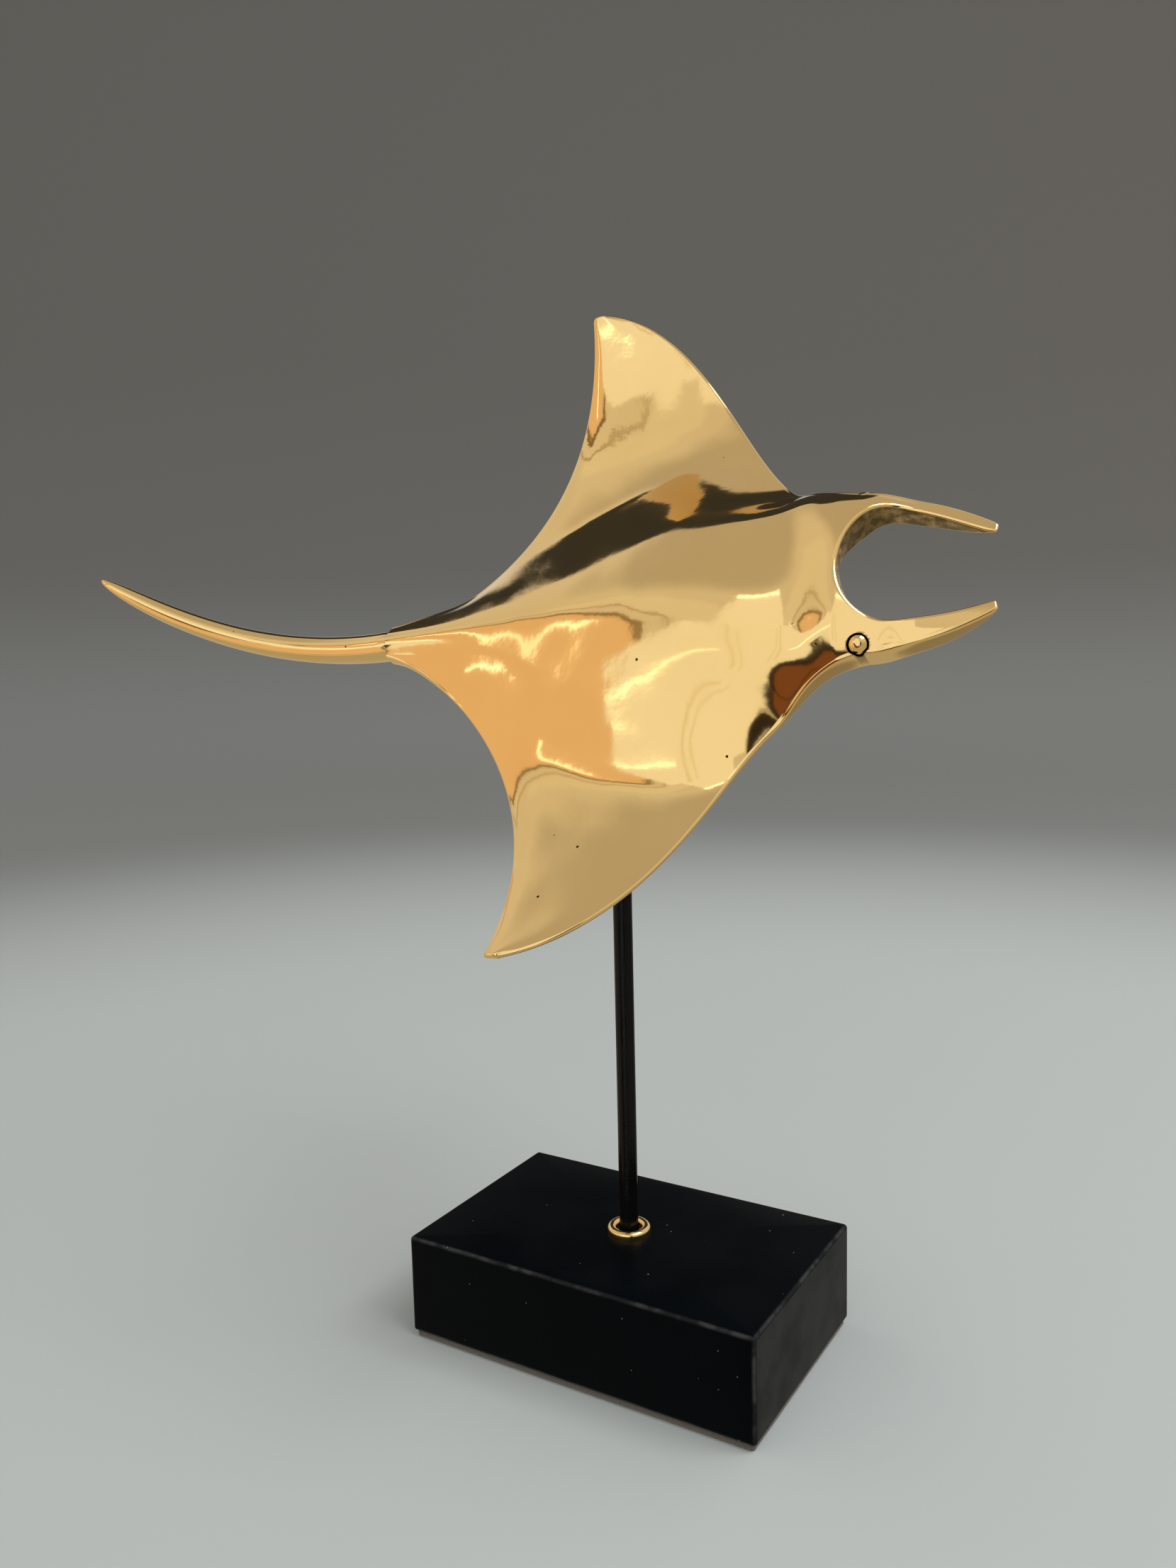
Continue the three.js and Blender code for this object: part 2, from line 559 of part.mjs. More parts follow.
ray.add(named('ray_casting', casting, brass()));
ray.add(named('tail', tailGeometry(), brass()));
ray.add(named('left_eye', eyeBall(1, EYE_DIAMETER / 2), brass()));
ray.add(named('right_eye', eyeBall(-1, EYE_DIAMETER / 2), brass()));
sculpture.add(ray);

sculpture.add(named('rod_bush', ringBetween(spigotHoleRadius, bushRadius, bushFoot, bushTop), brass()));
sculpture.add(named('support_rod', supportRod(), blackPaint()));
sculpture.add(named('rod_collar', rodCollar(), brass()));
sculpture.add(named('base_block', baseBlock(), blackPaint()));
sculpture.add(named(
  'threaded_insert', ringBetween(rodHoleRadius, insertRadius, recessRoof, insertTop), zincSteel()));
sculpture.add(named(
  'lock_washer', ringBetween(rodHoleRadius, washerRadius, washerFoot, recessRoof), zincSteel()));
sculpture.add(named('lock_nut', hexNut(), zincSteel()));
sculpture.add(named('felt_pad', feltPad(), felt()));

export default sculpture;
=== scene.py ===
import bmesh
import bpy
import numpy as np
from mathutils import Matrix, Vector


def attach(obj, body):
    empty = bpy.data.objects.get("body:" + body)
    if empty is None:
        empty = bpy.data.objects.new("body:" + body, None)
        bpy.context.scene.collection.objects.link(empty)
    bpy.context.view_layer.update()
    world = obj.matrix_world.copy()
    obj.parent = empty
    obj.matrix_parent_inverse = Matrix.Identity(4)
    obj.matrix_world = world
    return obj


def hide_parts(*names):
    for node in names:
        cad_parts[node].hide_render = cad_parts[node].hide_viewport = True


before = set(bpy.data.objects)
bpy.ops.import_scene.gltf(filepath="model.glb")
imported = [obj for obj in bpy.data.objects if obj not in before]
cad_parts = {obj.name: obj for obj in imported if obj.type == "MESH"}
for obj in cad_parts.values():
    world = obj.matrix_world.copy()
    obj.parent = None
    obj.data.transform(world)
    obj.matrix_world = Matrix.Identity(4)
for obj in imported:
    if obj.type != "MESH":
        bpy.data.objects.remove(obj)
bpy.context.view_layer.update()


# Felt pad: a flat cut of brownish grey wool felt, glued under the block.
# The knife left its edge a little wavy and fuzzy, and the block's weight presses it flat.

FELT_LENGTH, FELT_WIDTH, FELT_THICKNESS = 0.1184, 0.0734, 0.002
FELT_CORNER, FELT_WANDER, FELT_WANDER_REACH = 0.0012, 6e-5, 0.001
FELT_DARK, FELT_PALE = (0.045, 0.042, 0.036), (0.135, 0.125, 0.108)
CORNER_STEPS, SIDE_STEPS, MERGE_DISTANCE, SHORTEST_EDGE = 9, 26, 1.5e-6, 1e-7


def rounded_outline(length, width, radius):
    """Points round a rectangle: in each quarter an arc of the radius about the corner's centre, then even
    steps along the straight side to the next arc."""
    turn = np.linspace(0, np.pi / 2, CORNER_STEPS)
    along = np.linspace(0, 1, SIDE_STEPS)[1:-1, None]
    middles = np.array([[1, 1], [-1, 1], [-1, -1], [1, -1]]) * [length / 2 - radius, width / 2 - radius]
    arcs = [
        middle + radius * np.stack([np.cos(turn + k * np.pi / 2), np.sin(turn + k * np.pi / 2)], 1)
        for k, middle in enumerate(middles)
    ]
    sides = [a[-1] + (b[0] - a[-1]) * along for a, b in zip(arcs, arcs[1:] + arcs[:1])]
    return np.concatenate([part for pair in zip(arcs, sides) for part in pair])


def at_height(outline, height):
    """The points of a flat outline, lifted to one height."""
    return np.column_stack([outline, np.full(len(outline), height)])


def skin(name, *grids, sharp=35):
    """One closed mesh from grids of points. A grid is (points, joins rows, joins columns): each cell between
    neighbouring rows and columns is a quad, a joined direction runs back to its start, points that meet are
    merged, and edges sharper than the angle in degrees stay sharp."""
    corners, quads, first = [], [], 0
    for points, join_rows, join_columns in grids:
        rows, columns = points.shape[:2]
        i, j = np.meshgrid(
            np.arange(rows - (not join_rows)), np.arange(columns - (not join_columns)), indexing="ij"
        )
        below, beside = (i + 1) % rows, (j + 1) % columns
        cell = [i * columns + j, i * columns + beside, below * columns + beside, below * columns + j]
        quads.append(np.stack(cell, -1).reshape(-1, 4) + first)
        corners.append(points.reshape(-1, 3))
        first += rows * columns
    mesh = bpy.data.meshes.new(name)
    mesh.from_pydata(np.concatenate(corners).tolist(), [], np.concatenate(quads).tolist())
    shell = bmesh.new()
    shell.from_mesh(mesh)
    bmesh.ops.remove_doubles(shell, verts=shell.verts, dist=MERGE_DISTANCE)
    bmesh.ops.dissolve_degenerate(shell, edges=shell.edges, dist=SHORTEST_EDGE)
    bmesh.ops.recalc_face_normals(shell, faces=shell.faces)
    shell.to_mesh(mesh)
    shell.free()
    mesh.shade_smooth()
    mesh.set_sharp_from_angle(angle=np.radians(sharp))
    piece = bpy.data.objects.new(name, mesh)
    bpy.context.collection.objects.link(piece)
    return piece


def node(tree, kind, *values, **settings):
    """One shader node: settings are its own options, values go to its inputs in order, and a value that is
    another node's output is linked. None leaves an input as it is."""
    made = tree.nodes.new(kind)
    for option, value in settings.items():
        setattr(made, option, value)
    for socket, value in zip(made.inputs, values):
        if isinstance(value, bpy.types.NodeSocket):
            tree.links.new(value, socket)
        elif value is not None:
            socket.default_value = value
    return made


def math(tree, operation, a, b=0.0):
    """Arithmetic on two values of the surface."""
    return node(tree, "ShaderNodeMath", a, b, operation=operation).outputs[0]


def between(tree, value, low, high, start=0.0, end=1.0):
    """A smooth step: start below low, end above high."""
    made = node(
        tree, "ShaderNodeMapRange", value, low, high, start, end, interpolation_type="SMOOTHSTEP"
    )
    return made.outputs[0]


def blend(tree, share, a, b):
    """Two colours, mixed by a share of the surface."""
    made = node(tree, "ShaderNodeMix", share, data_type="RGBA")
    for socket, value in zip(made.inputs[6:8], (a, b)):
        if isinstance(value, bpy.types.NodeSocket):
            tree.links.new(value, socket)
        else:
            socket.default_value = (*value, 1)
    return made.outputs[2]


def noise(tree, place, scale, detail=2.0, roughness=0.5):
    """Cloudy noise from 0 to 1, with this many clouds to the metre."""
    made = node(tree, "ShaderNodeTexNoise", place)
    made.inputs["Scale"].default_value = scale
    made.inputs["Detail"].default_value = detail
    made.inputs["Roughness"].default_value = roughness
    return made.outputs[0]


def finish_named(name):
    """An empty material: its tree, its Principled shader and the piece's own coordinates."""
    material = bpy.data.materials.new(name)
    material.use_nodes = True
    tree = material.node_tree
    place = node(tree, "ShaderNodeTexCoord").outputs["Object"]
    return material, tree, tree.nodes["Principled BSDF"], place


def bumped(tree, shader, height, strength, depth):
    """A bump on a shader: a pattern of heights, this strong and this many metres deep."""
    bump = node(tree, "ShaderNodeBump", strength, depth)
    tree.links.new(height, bump.inputs["Height"])
    tree.links.new(bump.outputs[0], shader.inputs["Normal"])


def felt_rings():
    """Rings of the pad's outline, outwards along the underside, round the cut edge and back along the top:
    the inset is the distance from the edge. A sum of three sines makes the cut wander inwards by a tenth of
    a millimetre or so."""
    inset = np.array([36.7, 24, 12, 3, 0.5, 0.14, 0, 0, 0.14, 0.5, 3, 12, 24, 36.7]) / 1000
    height = np.array([0, 0, 0, 0, 0, 0.12, 0.4, 1.6, 1.88, 2, 2, 2, 2, 2]) / 2 * FELT_THICKNESS
    size = np.array([FELT_LENGTH, FELT_WIDTH])
    rings = []
    for k, (step, lift) in enumerate(zip(inset, height)):
        outline = rounded_outline(*(size - 2 * step), max(FELT_CORNER - step, 0))
        turn = np.linspace(0, 2 * np.pi, len(outline), endpoint=False)
        wander = np.sin(9 * turn) + 0.7 * np.sin(23 * turn + 1) + 0.5 * np.sin(57 * turn + k)
        wander = (wander + 1 + 0.7 + 0.5) * FELT_WANDER * (step < FELT_WANDER_REACH)
        outline -= outline / size * wander[:, None]
        rings.append(at_height(outline, lift))
    return np.stack(rings)


felt_wool, tree, shader, place = finish_named("felt_wool")
fibres = noise(tree, place, scale=2600, detail=5, roughness=0.7)
clumps = noise(tree, place, scale=420, detail=3, roughness=0.6)
tree.links.new(blend(tree, fibres, FELT_DARK, FELT_PALE), shader.inputs["Base Color"])
bumped(tree, shader, math(tree, "ADD", fibres, clumps), strength=0.9, depth=0.0004)
shader.inputs["Roughness"].default_value = 0.95
shader.inputs["Sheen Weight"].default_value = 0.3

felt = skin("felt_under_block", (felt_rings(), False, True))
felt.data.materials.append(felt_wool)
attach(felt, "stand")
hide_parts("felt_pad")


# Base block: a wooden block with softly broken edges, sprayed satin black.
# A hole for the rod goes through it, with a pocket for the insert and a round recess for the nut below.

BLOCK_LENGTH, BLOCK_WIDTH, BLOCK_FOOT, BLOCK_TOP, BLOCK_EDGE = 0.120, 0.075, 0.002, 0.034, 0.0012
ROD_HOLE_RADIUS, INSERT_POCKET_RADIUS, NUT_RECESS_RADIUS = 0.0033, 0.0053, 0.011
HOLE_CHAMFER, INSERT_POCKET_TOP, NUT_RECESS_TOP = 0.0003, 0.0269, 0.0136
TOP_RING_RADII, EDGE_STEPS, SIDE_RINGS = (0.0055, 0.012, 0.024, 0.034), 8, 6
BLOCK_DEEP_BLACK, BLOCK_BLACK = (0.0006, 0.0013, 0.002), (0.0016, 0.0032, 0.0046)
END_FACE_SHEEN_GREY, EDGE_HIGHLIGHT_GREY, FLECK_GREY = (0.034, 0.038, 0.038), (0.07, 0.074, 0.074), (0.16, 0.15, 0.14)


def block_rings():
    """Rings from the rod hole's rim over the top, round the edge, down the side, under the block and up
    through recess and pocket to the hole again. An outer ring is the block's outline set in by its edge's
    quarter circle, and an inner one is a circle at the same bearings."""

    def circle(radius, height):
        outline = rounded_outline(BLOCK_LENGTH, BLOCK_WIDTH, BLOCK_EDGE)
        return at_height(radius * outline / np.linalg.norm(outline, axis=1)[:, None], height)

    def outer(inset, height):
        size = BLOCK_LENGTH - 2 * inset, BLOCK_WIDTH - 2 * inset
        return at_height(rounded_outline(*size, max(BLOCK_EDGE - inset, 1e-5)), height)

    turn = np.linspace(np.pi / 2, 0, EDGE_STEPS)
    inset, drop = BLOCK_EDGE * (1 - np.cos(turn)), BLOCK_EDGE * (1 - np.sin(turn))
    side = np.linspace(BLOCK_TOP - BLOCK_EDGE, BLOCK_FOOT + BLOCK_EDGE, SIDE_RINGS)[1:-1]
    return np.stack(
        [
            circle(ROD_HOLE_RADIUS, INSERT_POCKET_TOP),
            circle(ROD_HOLE_RADIUS, BLOCK_TOP - HOLE_CHAMFER),
            circle(ROD_HOLE_RADIUS + HOLE_CHAMFER, BLOCK_TOP),
        ]
        + [circle(radius, BLOCK_TOP) for radius in TOP_RING_RADII]
        + [outer(a, BLOCK_TOP - b) for a, b in zip(inset, drop)]
        + [outer(0, height) for height in side]
        + [outer(a, BLOCK_FOOT + b) for a, b in zip(inset[::-1], drop[::-1])]
        + [
            circle(NUT_RECESS_RADIUS, BLOCK_FOOT),
            circle(NUT_RECESS_RADIUS, NUT_RECESS_TOP),
            circle(INSERT_POCKET_RADIUS, NUT_RECESS_TOP),
            circle(INSERT_POCKET_RADIUS, INSERT_POCKET_TOP),
        ]
    )


def fleck_group():
    """Small round flecks: a Voronoi cell carries one when its own random number is below the share, and the
    fleck is the part of the cell within a small distance of its middle. Inputs are cells to the metre, size
    and share of cells."""
    group = bpy.data.node_groups.new("paint_flecks", "ShaderNodeTree")
    for name, start in (("Cells", 400.0), ("Size", 0.12), ("Share", 0.2)):
        socket = group.interface.new_socket(name, in_out="INPUT", socket_type="NodeSocketFloat")
        socket.default_value = start
    group.interface.new_socket("Mask", in_out="OUTPUT", socket_type="NodeSocketFloat")
    inside = group.nodes.new("NodeGroupInput").outputs
    cells = node(group, "ShaderNodeTexVoronoi", node(group, "ShaderNodeTexCoord").outputs["Object"])
    group.links.new(inside["Cells"], cells.inputs["Scale"])
    chance = node(group, "ShaderNodeSeparateColor", cells.outputs["Color"]).outputs
    reach = math(group, "MULTIPLY", inside["Size"], chance[1])
    near = math(group, "LESS_THAN", cells.outputs["Distance"], reach)
    carries = math(group, "LESS_THAN", chance[0], inside["Share"])
    mask = math(group, "MULTIPLY", near, carries)
    group.links.new(mask, group.nodes.new("NodeGroupOutput").inputs["Mask"])
    return group


def flecks(tree, cells, size, share):
    """The mask of the fleck group with one material's own values."""
    made = node(tree, "ShaderNodeGroup", node_tree=paint_flecks)
    for name, value in (("Cells", cells), ("Size", size), ("Share", share)):
        made.inputs[name].default_value = value
    return made.outputs["Mask"]


def store(mesh, name, values):
    """Stores one value for each point of a mesh, under a name that its material reads."""
    attribute = mesh.attributes.new(name, "FLOAT", "POINT")
    attribute.data.foreach_set("value", np.asarray(values, np.float32))


def stored(tree, name):
    """A value that was stored for each point, as a material reads it."""
    return node(tree, "ShaderNodeAttribute", attribute_name=name).outputs["Fac"]


def places_of(mesh):
    """All points of a mesh as one array."""
    flat = np.empty(3 * len(mesh.vertices))
    mesh.vertices.foreach_get("co", flat)
    return flat.reshape(-1, 3)


paint_flecks = fleck_group()
satin_black, tree, shader, place = finish_named("satin_black_paint")
spray = noise(tree, place, scale=900, detail=3)
cloud = noise(tree, place, scale=35, detail=4)
patchy = between(tree, noise(tree, place, scale=160, detail=4), 0.4, 0.65, start=0.25, end=1.0)
uneven = noise(tree, place, scale=60, detail=5, roughness=0.6)
uneven = between(tree, uneven, 0.3, 0.7, start=0.5, end=1.0)
# Within the rounding of the edges the paint is a lighter grey in patches: a painted highlight along the
# edges, in place of the sheen that the low specular level leaves out.
edge_highlight_share = math(tree, "MULTIPLY", stored(tree, "edge_highlight"), patchy)
# The end faces are painted a paler grey in patches: a painted reflection of the bright side of the studio, in
# place of the sheen that the paint's low specular level leaves out.
end_sheen = math(tree, "MULTIPLY", stored(tree, "end_face_sheen"), uneven)
paint = blend(tree, cloud, BLOCK_DEEP_BLACK, BLOCK_BLACK)
paint = blend(tree, end_sheen, paint, END_FACE_SHEEN_GREY)
paint = blend(tree, edge_highlight_share, paint, EDGE_HIGHLIGHT_GREY)
paint = blend(tree, flecks(tree, cells=330, size=0.1, share=0.16), paint, FLECK_GREY)
tree.links.new(paint, shader.inputs["Base Color"])
tree.links.new(between(tree, cloud, 0.3, 0.7, start=0.3, end=0.42), shader.inputs["Roughness"])
bumped(tree, shader, spray, strength=0.25, depth=0.00012)
shader.inputs["Specular IOR Level"].default_value = 0.03

block = skin("painted_block", (block_rings(), True, True))
reach = np.abs(places_of(block.data) - [0, 0, (BLOCK_TOP + BLOCK_FOOT) / 2])
inward = np.array([BLOCK_LENGTH, BLOCK_WIDTH, BLOCK_TOP - BLOCK_FOOT]) / 2 - reach
# Places within the rounding of the edges, marked for the painted highlight.
store(block.data, "edge_highlight", np.clip(1 - np.sort(inward, 1)[:, 1] / BLOCK_EDGE, 0, 1))
# The end faces, marked for the painted reflection.
store(block.data, "end_face_sheen", inward[:, 0] < 1e-6)
block.data.materials.append(satin_black)
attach(block, "stand")
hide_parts("base_block")


# Insert, washer and nut: bright zinc plated steel, sunk in the block's underside.
# The solids already have the shape, so they only get their plated finish.

ZINC_GREY, ZINC_BRIGHT = (0.45, 0.47, 0.5), (0.62, 0.62, 0.6)

zinc_plate, tree, shader, place = finish_named("zinc_plate")
spangle = noise(tree, place, scale=700, detail=3)
tree.links.new(blend(tree, spangle, ZINC_GREY, ZINC_BRIGHT), shader.inputs["Base Color"])
tree.links.new(between(tree, spangle, 0.2, 0.8, start=0.26, end=0.44), shader.inputs["Roughness"])
shader.inputs["Metallic"].default_value = 1
for name in ("threaded_insert", "lock_washer", "lock_nut"):
    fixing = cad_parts[name]
    fixing.data.materials.clear()
    fixing.data.materials.append(zinc_plate)


# Rod collar: a half-round brass ring that sits on the block round the rod.
# It hides the edge of the rod's hole, and a dark gap is left between ring and rod.

COLLAR_BORE, COLLAR_RADIUS, COLLAR_LAND, COLLAR_CROWN, CROWN_STEPS = 0.0041, 0.0070, 0.0009, 0.0013, 15
BRASS_PALE, BRASS_DEEP, TARNISH_BROWN = (0.93, 0.66, 0.30), (0.86, 0.57, 0.22), (0.05, 0.03, 0.012)
PIT_CELLS, PIT_SIZE, PIT_DEPTH, RIPPLE_SHARE = 210, 0.1, 0.05, 0.03


def turned(profile, steps=64):
    """A turned shape: each point of the profile, as radius and height, goes round the rod's axis."""
    turn = np.linspace(0, 2 * np.pi, steps, endpoint=False)
    radius, height = np.array(profile).T[:, :, None]
    return np.stack(
        [radius * np.cos(turn), radius * np.sin(turn), np.broadcast_to(height, (len(profile), steps))], -1
    )


def brass_group():
    """Brass polished by hand: broad clouds of a deeper gold, a slow waviness and a fine ripple left by the
    polishing wheel, small pits from casting, and dark tarnish where a mask asks for it. Inputs are that mask,
    the height of the waves and the share of pits, and outputs are colour, roughness and the height for a
    bump."""
    group = bpy.data.node_groups.new("hand_polished_brass", "ShaderNodeTree")
    for name in ("Tarnish", "Waves", "Pits"):
        group.interface.new_socket(name, in_out="INPUT", socket_type="NodeSocketFloat")
    for name, kind in (("Color", "Color"), ("Roughness", "Float"), ("Height", "Float")):
        group.interface.new_socket(name, in_out="OUTPUT", socket_type="NodeSocket" + kind)
    inside = group.nodes.new("NodeGroupInput").outputs
    place = node(group, "ShaderNodeTexCoord").outputs["Object"]
    cloud = noise(group, place, scale=26, detail=4, roughness=0.55)
    wave = noise(group, place, scale=42, detail=1, roughness=0.4)
    ripple = noise(group, place, scale=230)
    cells = node(group, "ShaderNodeTexVoronoi", place)
    cells.inputs["Scale"].default_value = PIT_CELLS
    chance = node(group, "ShaderNodeSeparateColor", cells.outputs["Color"]).outputs
    size = math(group, "MULTIPLY", chance[1], PIT_SIZE)
    pit = math(group, "LESS_THAN", cells.outputs["Distance"], size)
    pit = math(group, "MULTIPLY", pit, math(group, "LESS_THAN", chance[0], inside["Pits"]))
    dark = math(group, "MAXIMUM", pit, inside["Tarnish"])
    gold = blend(group, cloud, BRASS_PALE, BRASS_DEEP)
    gold = blend(group, dark, gold, TARNISH_BROWN)
    polish = between(group, cloud, 0.3, 0.8, start=0.05, end=0.11)
    rough = math(group, "ADD", polish, math(group, "MULTIPLY", dark, 0.4))
    wave = math(group, "ADD", wave, math(group, "MULTIPLY", ripple, RIPPLE_SHARE))
    height = math(group, "MULTIPLY", wave, inside["Waves"])
    height = math(group, "SUBTRACT", height, math(group, "MULTIPLY", pit, PIT_DEPTH))
    outside = group.nodes.new("NodeGroupOutput").inputs
    for name, value in (("Color", gold), ("Roughness", rough), ("Height", height)):
        group.links.new(value, outside[name])
    return group


def brass(name, waves, pits, tarnish=None):
    """A brass finish: the group's colour, roughness and height on one metal shader, with the tarnish read
    from the piece's own attribute where it has one."""
    material, tree, shader, place = finish_named(name)
    made = node(tree, "ShaderNodeGroup", node_tree=hand_polished_brass)
    made.inputs["Waves"].default_value, made.inputs["Pits"].default_value = waves, pits
    if tarnish:
        mottled = noise(tree, place, scale=300, detail=4, roughness=0.6)
        mottled = between(tree, mottled, 0.3, 0.62, start=0.55, end=1.0)
        dark = math(tree, "MULTIPLY", stored(tree, tarnish), mottled)
        tree.links.new(dark, made.inputs["Tarnish"])
    for output, target in (("Color", "Base Color"), ("Roughness", "Roughness")):
        tree.links.new(made.outputs[output], shader.inputs[target])
    bumped(tree, shader, made.outputs["Height"], strength=1.0, depth=0.001)
    shader.inputs["Metallic"].default_value = 1
    return material


hand_polished_brass = brass_group()
collar_brass = brass("collar_brass", waves=0.05, pits=0.1)

collar_middle, collar_half = (COLLAR_RADIUS + COLLAR_BORE) / 2, (COLLAR_RADIUS - COLLAR_BORE) / 2
crown_foot = BLOCK_TOP + COLLAR_LAND
turn = np.linspace(0, np.pi, CROWN_STEPS)[1:-1]
crown = zip(collar_middle - collar_half * np.cos(turn), crown_foot + COLLAR_CROWN * np.sin(turn))
collar_section = [(COLLAR_BORE, BLOCK_TOP), (COLLAR_BORE, crown_foot), *crown]
collar_section += [(COLLAR_RADIUS, crown_foot), (COLLAR_RADIUS, BLOCK_TOP)]
collar = skin("foot_collar", (turned(collar_section), True, True), sharp=60)
collar.data.materials.append(collar_brass)
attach(collar, "stand")
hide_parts("rod_collar")


# Support rod: 6 mm steel rod, painted gloss black, screwed into the block.
# Its top is turned down to a spigot that the figure stands on.

ROD_RADIUS, SPIGOT_RADIUS, ROD_CHAMFER, ROD_RINGS = 0.003, 0.002, 0.0006, 40
ROD_FOOT, ROD_SHOULDER, ROD_TOP = 0.004, 0.2047, 0.2327
ROD_DEEP_BLACK, ROD_BLACK, ROD_FLECK = (0.0015, 0.0017, 0.002), (0.005, 0.005, 0.005), (0.09, 0.09, 0.09)

gloss_black, tree, shader, place = finish_named("gloss_black_paint")
runs = noise(tree, place, scale=130, detail=3)
grit = noise(tree, place, scale=1100)
paint = blend(tree, runs, ROD_DEEP_BLACK, ROD_BLACK)
paint = blend(tree, flecks(tree, cells=520, size=0.1, share=0.14), paint, ROD_FLECK)
tree.links.new(paint, shader.inputs["Base Color"])
tree.links.new(between(tree, runs, 0.3, 0.7, start=0.16, end=0.3), shader.inputs["Roughness"])
lumps = math(tree, "ADD", runs, math(tree, "MULTIPLY", grit, 0.35))
bumped(tree, shader, lumps, strength=0.5, depth=0.0003)
shader.inputs["Specular IOR Level"].default_value = 0.12

rod_side = np.linspace(ROD_FOOT + ROD_CHAMFER, ROD_SHOULDER - ROD_CHAMFER, ROD_RINGS)
rod_section = [(0, ROD_FOOT), (ROD_RADIUS - ROD_CHAMFER, ROD_FOOT)]
rod_section += [(ROD_RADIUS, height) for height in rod_side]
rod_section += [(ROD_RADIUS - ROD_CHAMFER, ROD_SHOULDER), (SPIGOT_RADIUS, ROD_SHOULDER)]
rod_section += [(SPIGOT_RADIUS, ROD_TOP - ROD_CHAMFER), (SPIGOT_RADIUS - ROD_CHAMFER, ROD_TOP), (0, ROD_TOP)]
rod = skin("painted_rod", (turned(rod_section, steps=48), False, True))
rod.data.materials.append(gloss_black)
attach(rod, "stand")
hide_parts("support_rod")


# Rod bush: a turned brass sleeve let into the figure's belly along the rod's axis.
# The figure turns on the rod in it.

BUSH_BORE, BUSH_RADIUS, BUSH_CHAMFER, BUSH_FOOT, BUSH_TOP = 0.0023, 0.0045, 0.0004, 0.205, 0.238

bush_brass = brass("bush_brass", waves=0.02, pits=0.02)
bush_section = [(BUSH_BORE, BUSH_FOOT), (BUSH_RADIUS - BUSH_CHAMFER, BUSH_FOOT)]
bush_section += [(BUSH_RADIUS, BUSH_FOOT + BUSH_CHAMFER), (BUSH_RADIUS, BUSH_TOP - BUSH_CHAMFER)]
bush_section += [(BUSH_RADIUS - BUSH_CHAMFER, BUSH_TOP), (BUSH_BORE, BUSH_TOP)]
bush = skin("belly_bush", (turned(bush_section, steps=48), True, True))
bush.data.materials.append(bush_brass)
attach(bush, "ray")
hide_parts("rod_bush")


# Ray casting: body, wings, head and two head horns, cast in brass in one and polished by hand to a mirror.
# Its edges are rounded by the polishing, and the eyes sit in drilled pockets whose walls are coloured dark
# brown.
# Sizes here are in millimetres in the figure's own frame: x forward, y to its left, z out of its back.

RAY_HEIGHT, RAY_HEADING, RAY_NOSE_UP, RAY_BANK = 231, np.radians(3.4), np.radians(5.8), np.radians(59.9)
HALF_SPAN, TAIL_ROOT_X, TAIL_ROOT_RADIUS = 110.3, -84, 5
MOUTH_BACK = np.array([69.5, 0])
MOUTH_WIDE, MOUTH_SKEW, HEAD_CORNER = np.array([84, 18.2]), np.array([0, 1.1]), np.array([77, 23.2])
HORN_INNER_TIP, HORN_OUTER_TIP = np.array([110, 11.2]), np.array([110, 12.8])
REAR_WING_TIP, FRONT_WING_TIP = [-18, HALF_SPAN], [-14, HALF_SPAN]
TRAILING_ROOT_REACH, TRAILING_TIP_REACH = [22, 5], [-5.3, -63]
LEADING_ROOT_REACH, LEADING_TIP_REACH = [-44.9, 6.2], [45.5, -11.8]
MOUTH_BACK_REACH, MOUTH_SIDE_REACH = [0, 9], [-8, 0]
HORN_INSIDE_ROOT_REACH, HORN_INSIDE_TIP_REACH = [7, 0.4], [-6, 2.2]
HORN_OUTSIDE_ROOT_REACH, HORN_OUTSIDE_TIP_REACH = [13, 0], [-9, 5.5]
WING_TIP_LIFT, SHOULDER_SLOPE, BACK_ROUNDING, FAIRING_LENGTH = 59.34, 0.436, 10.3, 28
EDGE_HALF, ROOT_HALF, TIP_LOSS, SWELL_POWER = 0.9, 3.2, 1.8, 4
RIDGE_HEIGHTS, FLANK_SLOPES = [TAIL_ROOT_RADIUS, 1.5, 20.4, 2.1], [0.79, 0.23, 0.495, 0.475]
FLANK_ROUNDINGS, FLANK_BLEND, FLANK_FADE_SHARE = [2.6, 2, 12.2, 42], 1.84, 0.3
HOLLOW_WIDTHS, BELLY_HEIGHTS = [5, 22, 34, 30], [-5, -3, 1, 0]
HORN_TOP_HEIGHTS, HORN_BOTTOM_HEIGHTS = [7.8, 6.8, -1.2, -3.8], [-4.5, -5, -9.4, -7.6]
HEAD_BLEND_START, HEAD_BLEND_END, HEAD_SIDE, HEAD_SHOULDER = 22.6, 2, 24.4, 51.4
CHEEK_DROP, CHEEK_START, CHEEK_POWER, CHEEK_REAR, CHEEK_FRONT = 4, 4, 4, 41, 77
PALATE_HEIGHT, PALATE_WIDTH = 8, 11
HEAD_ROLL, ROLL_GAIN_LENGTH, ROLL_LOSS_LENGTH = np.radians(6), 32, 16
RIM_ROUNDING, RIM_STEPS = 1.0, 7
BODY_ROWS, ROOT_ROWS, WING_ROWS, CHORD_STEPS, HORN_RIBS = 16, 10, 92, 150, 60
EYE_X, EYE_Y, EYE_SKEW = 75.6, 21.9, 1
EYE_RADIUS, EYE_SINK, EYE_SINK_UNEVEN, POCKET_RADIUS = 3.2, 3.3, 0.6, 3.65
SOCKET_RADIUS, SOCKET_DEPTH, SOCKET_MOUTH = 3.3, 8.3, 6
WALL_TARNISH, WALL_START, WALL_TOP_EDGE, WALL_FOOT_EDGE = 0.85, 2, (0.45, 0.9), (0.1, 0.7)
CASTING_SHARP, ROUND_STEPS = 50, 48

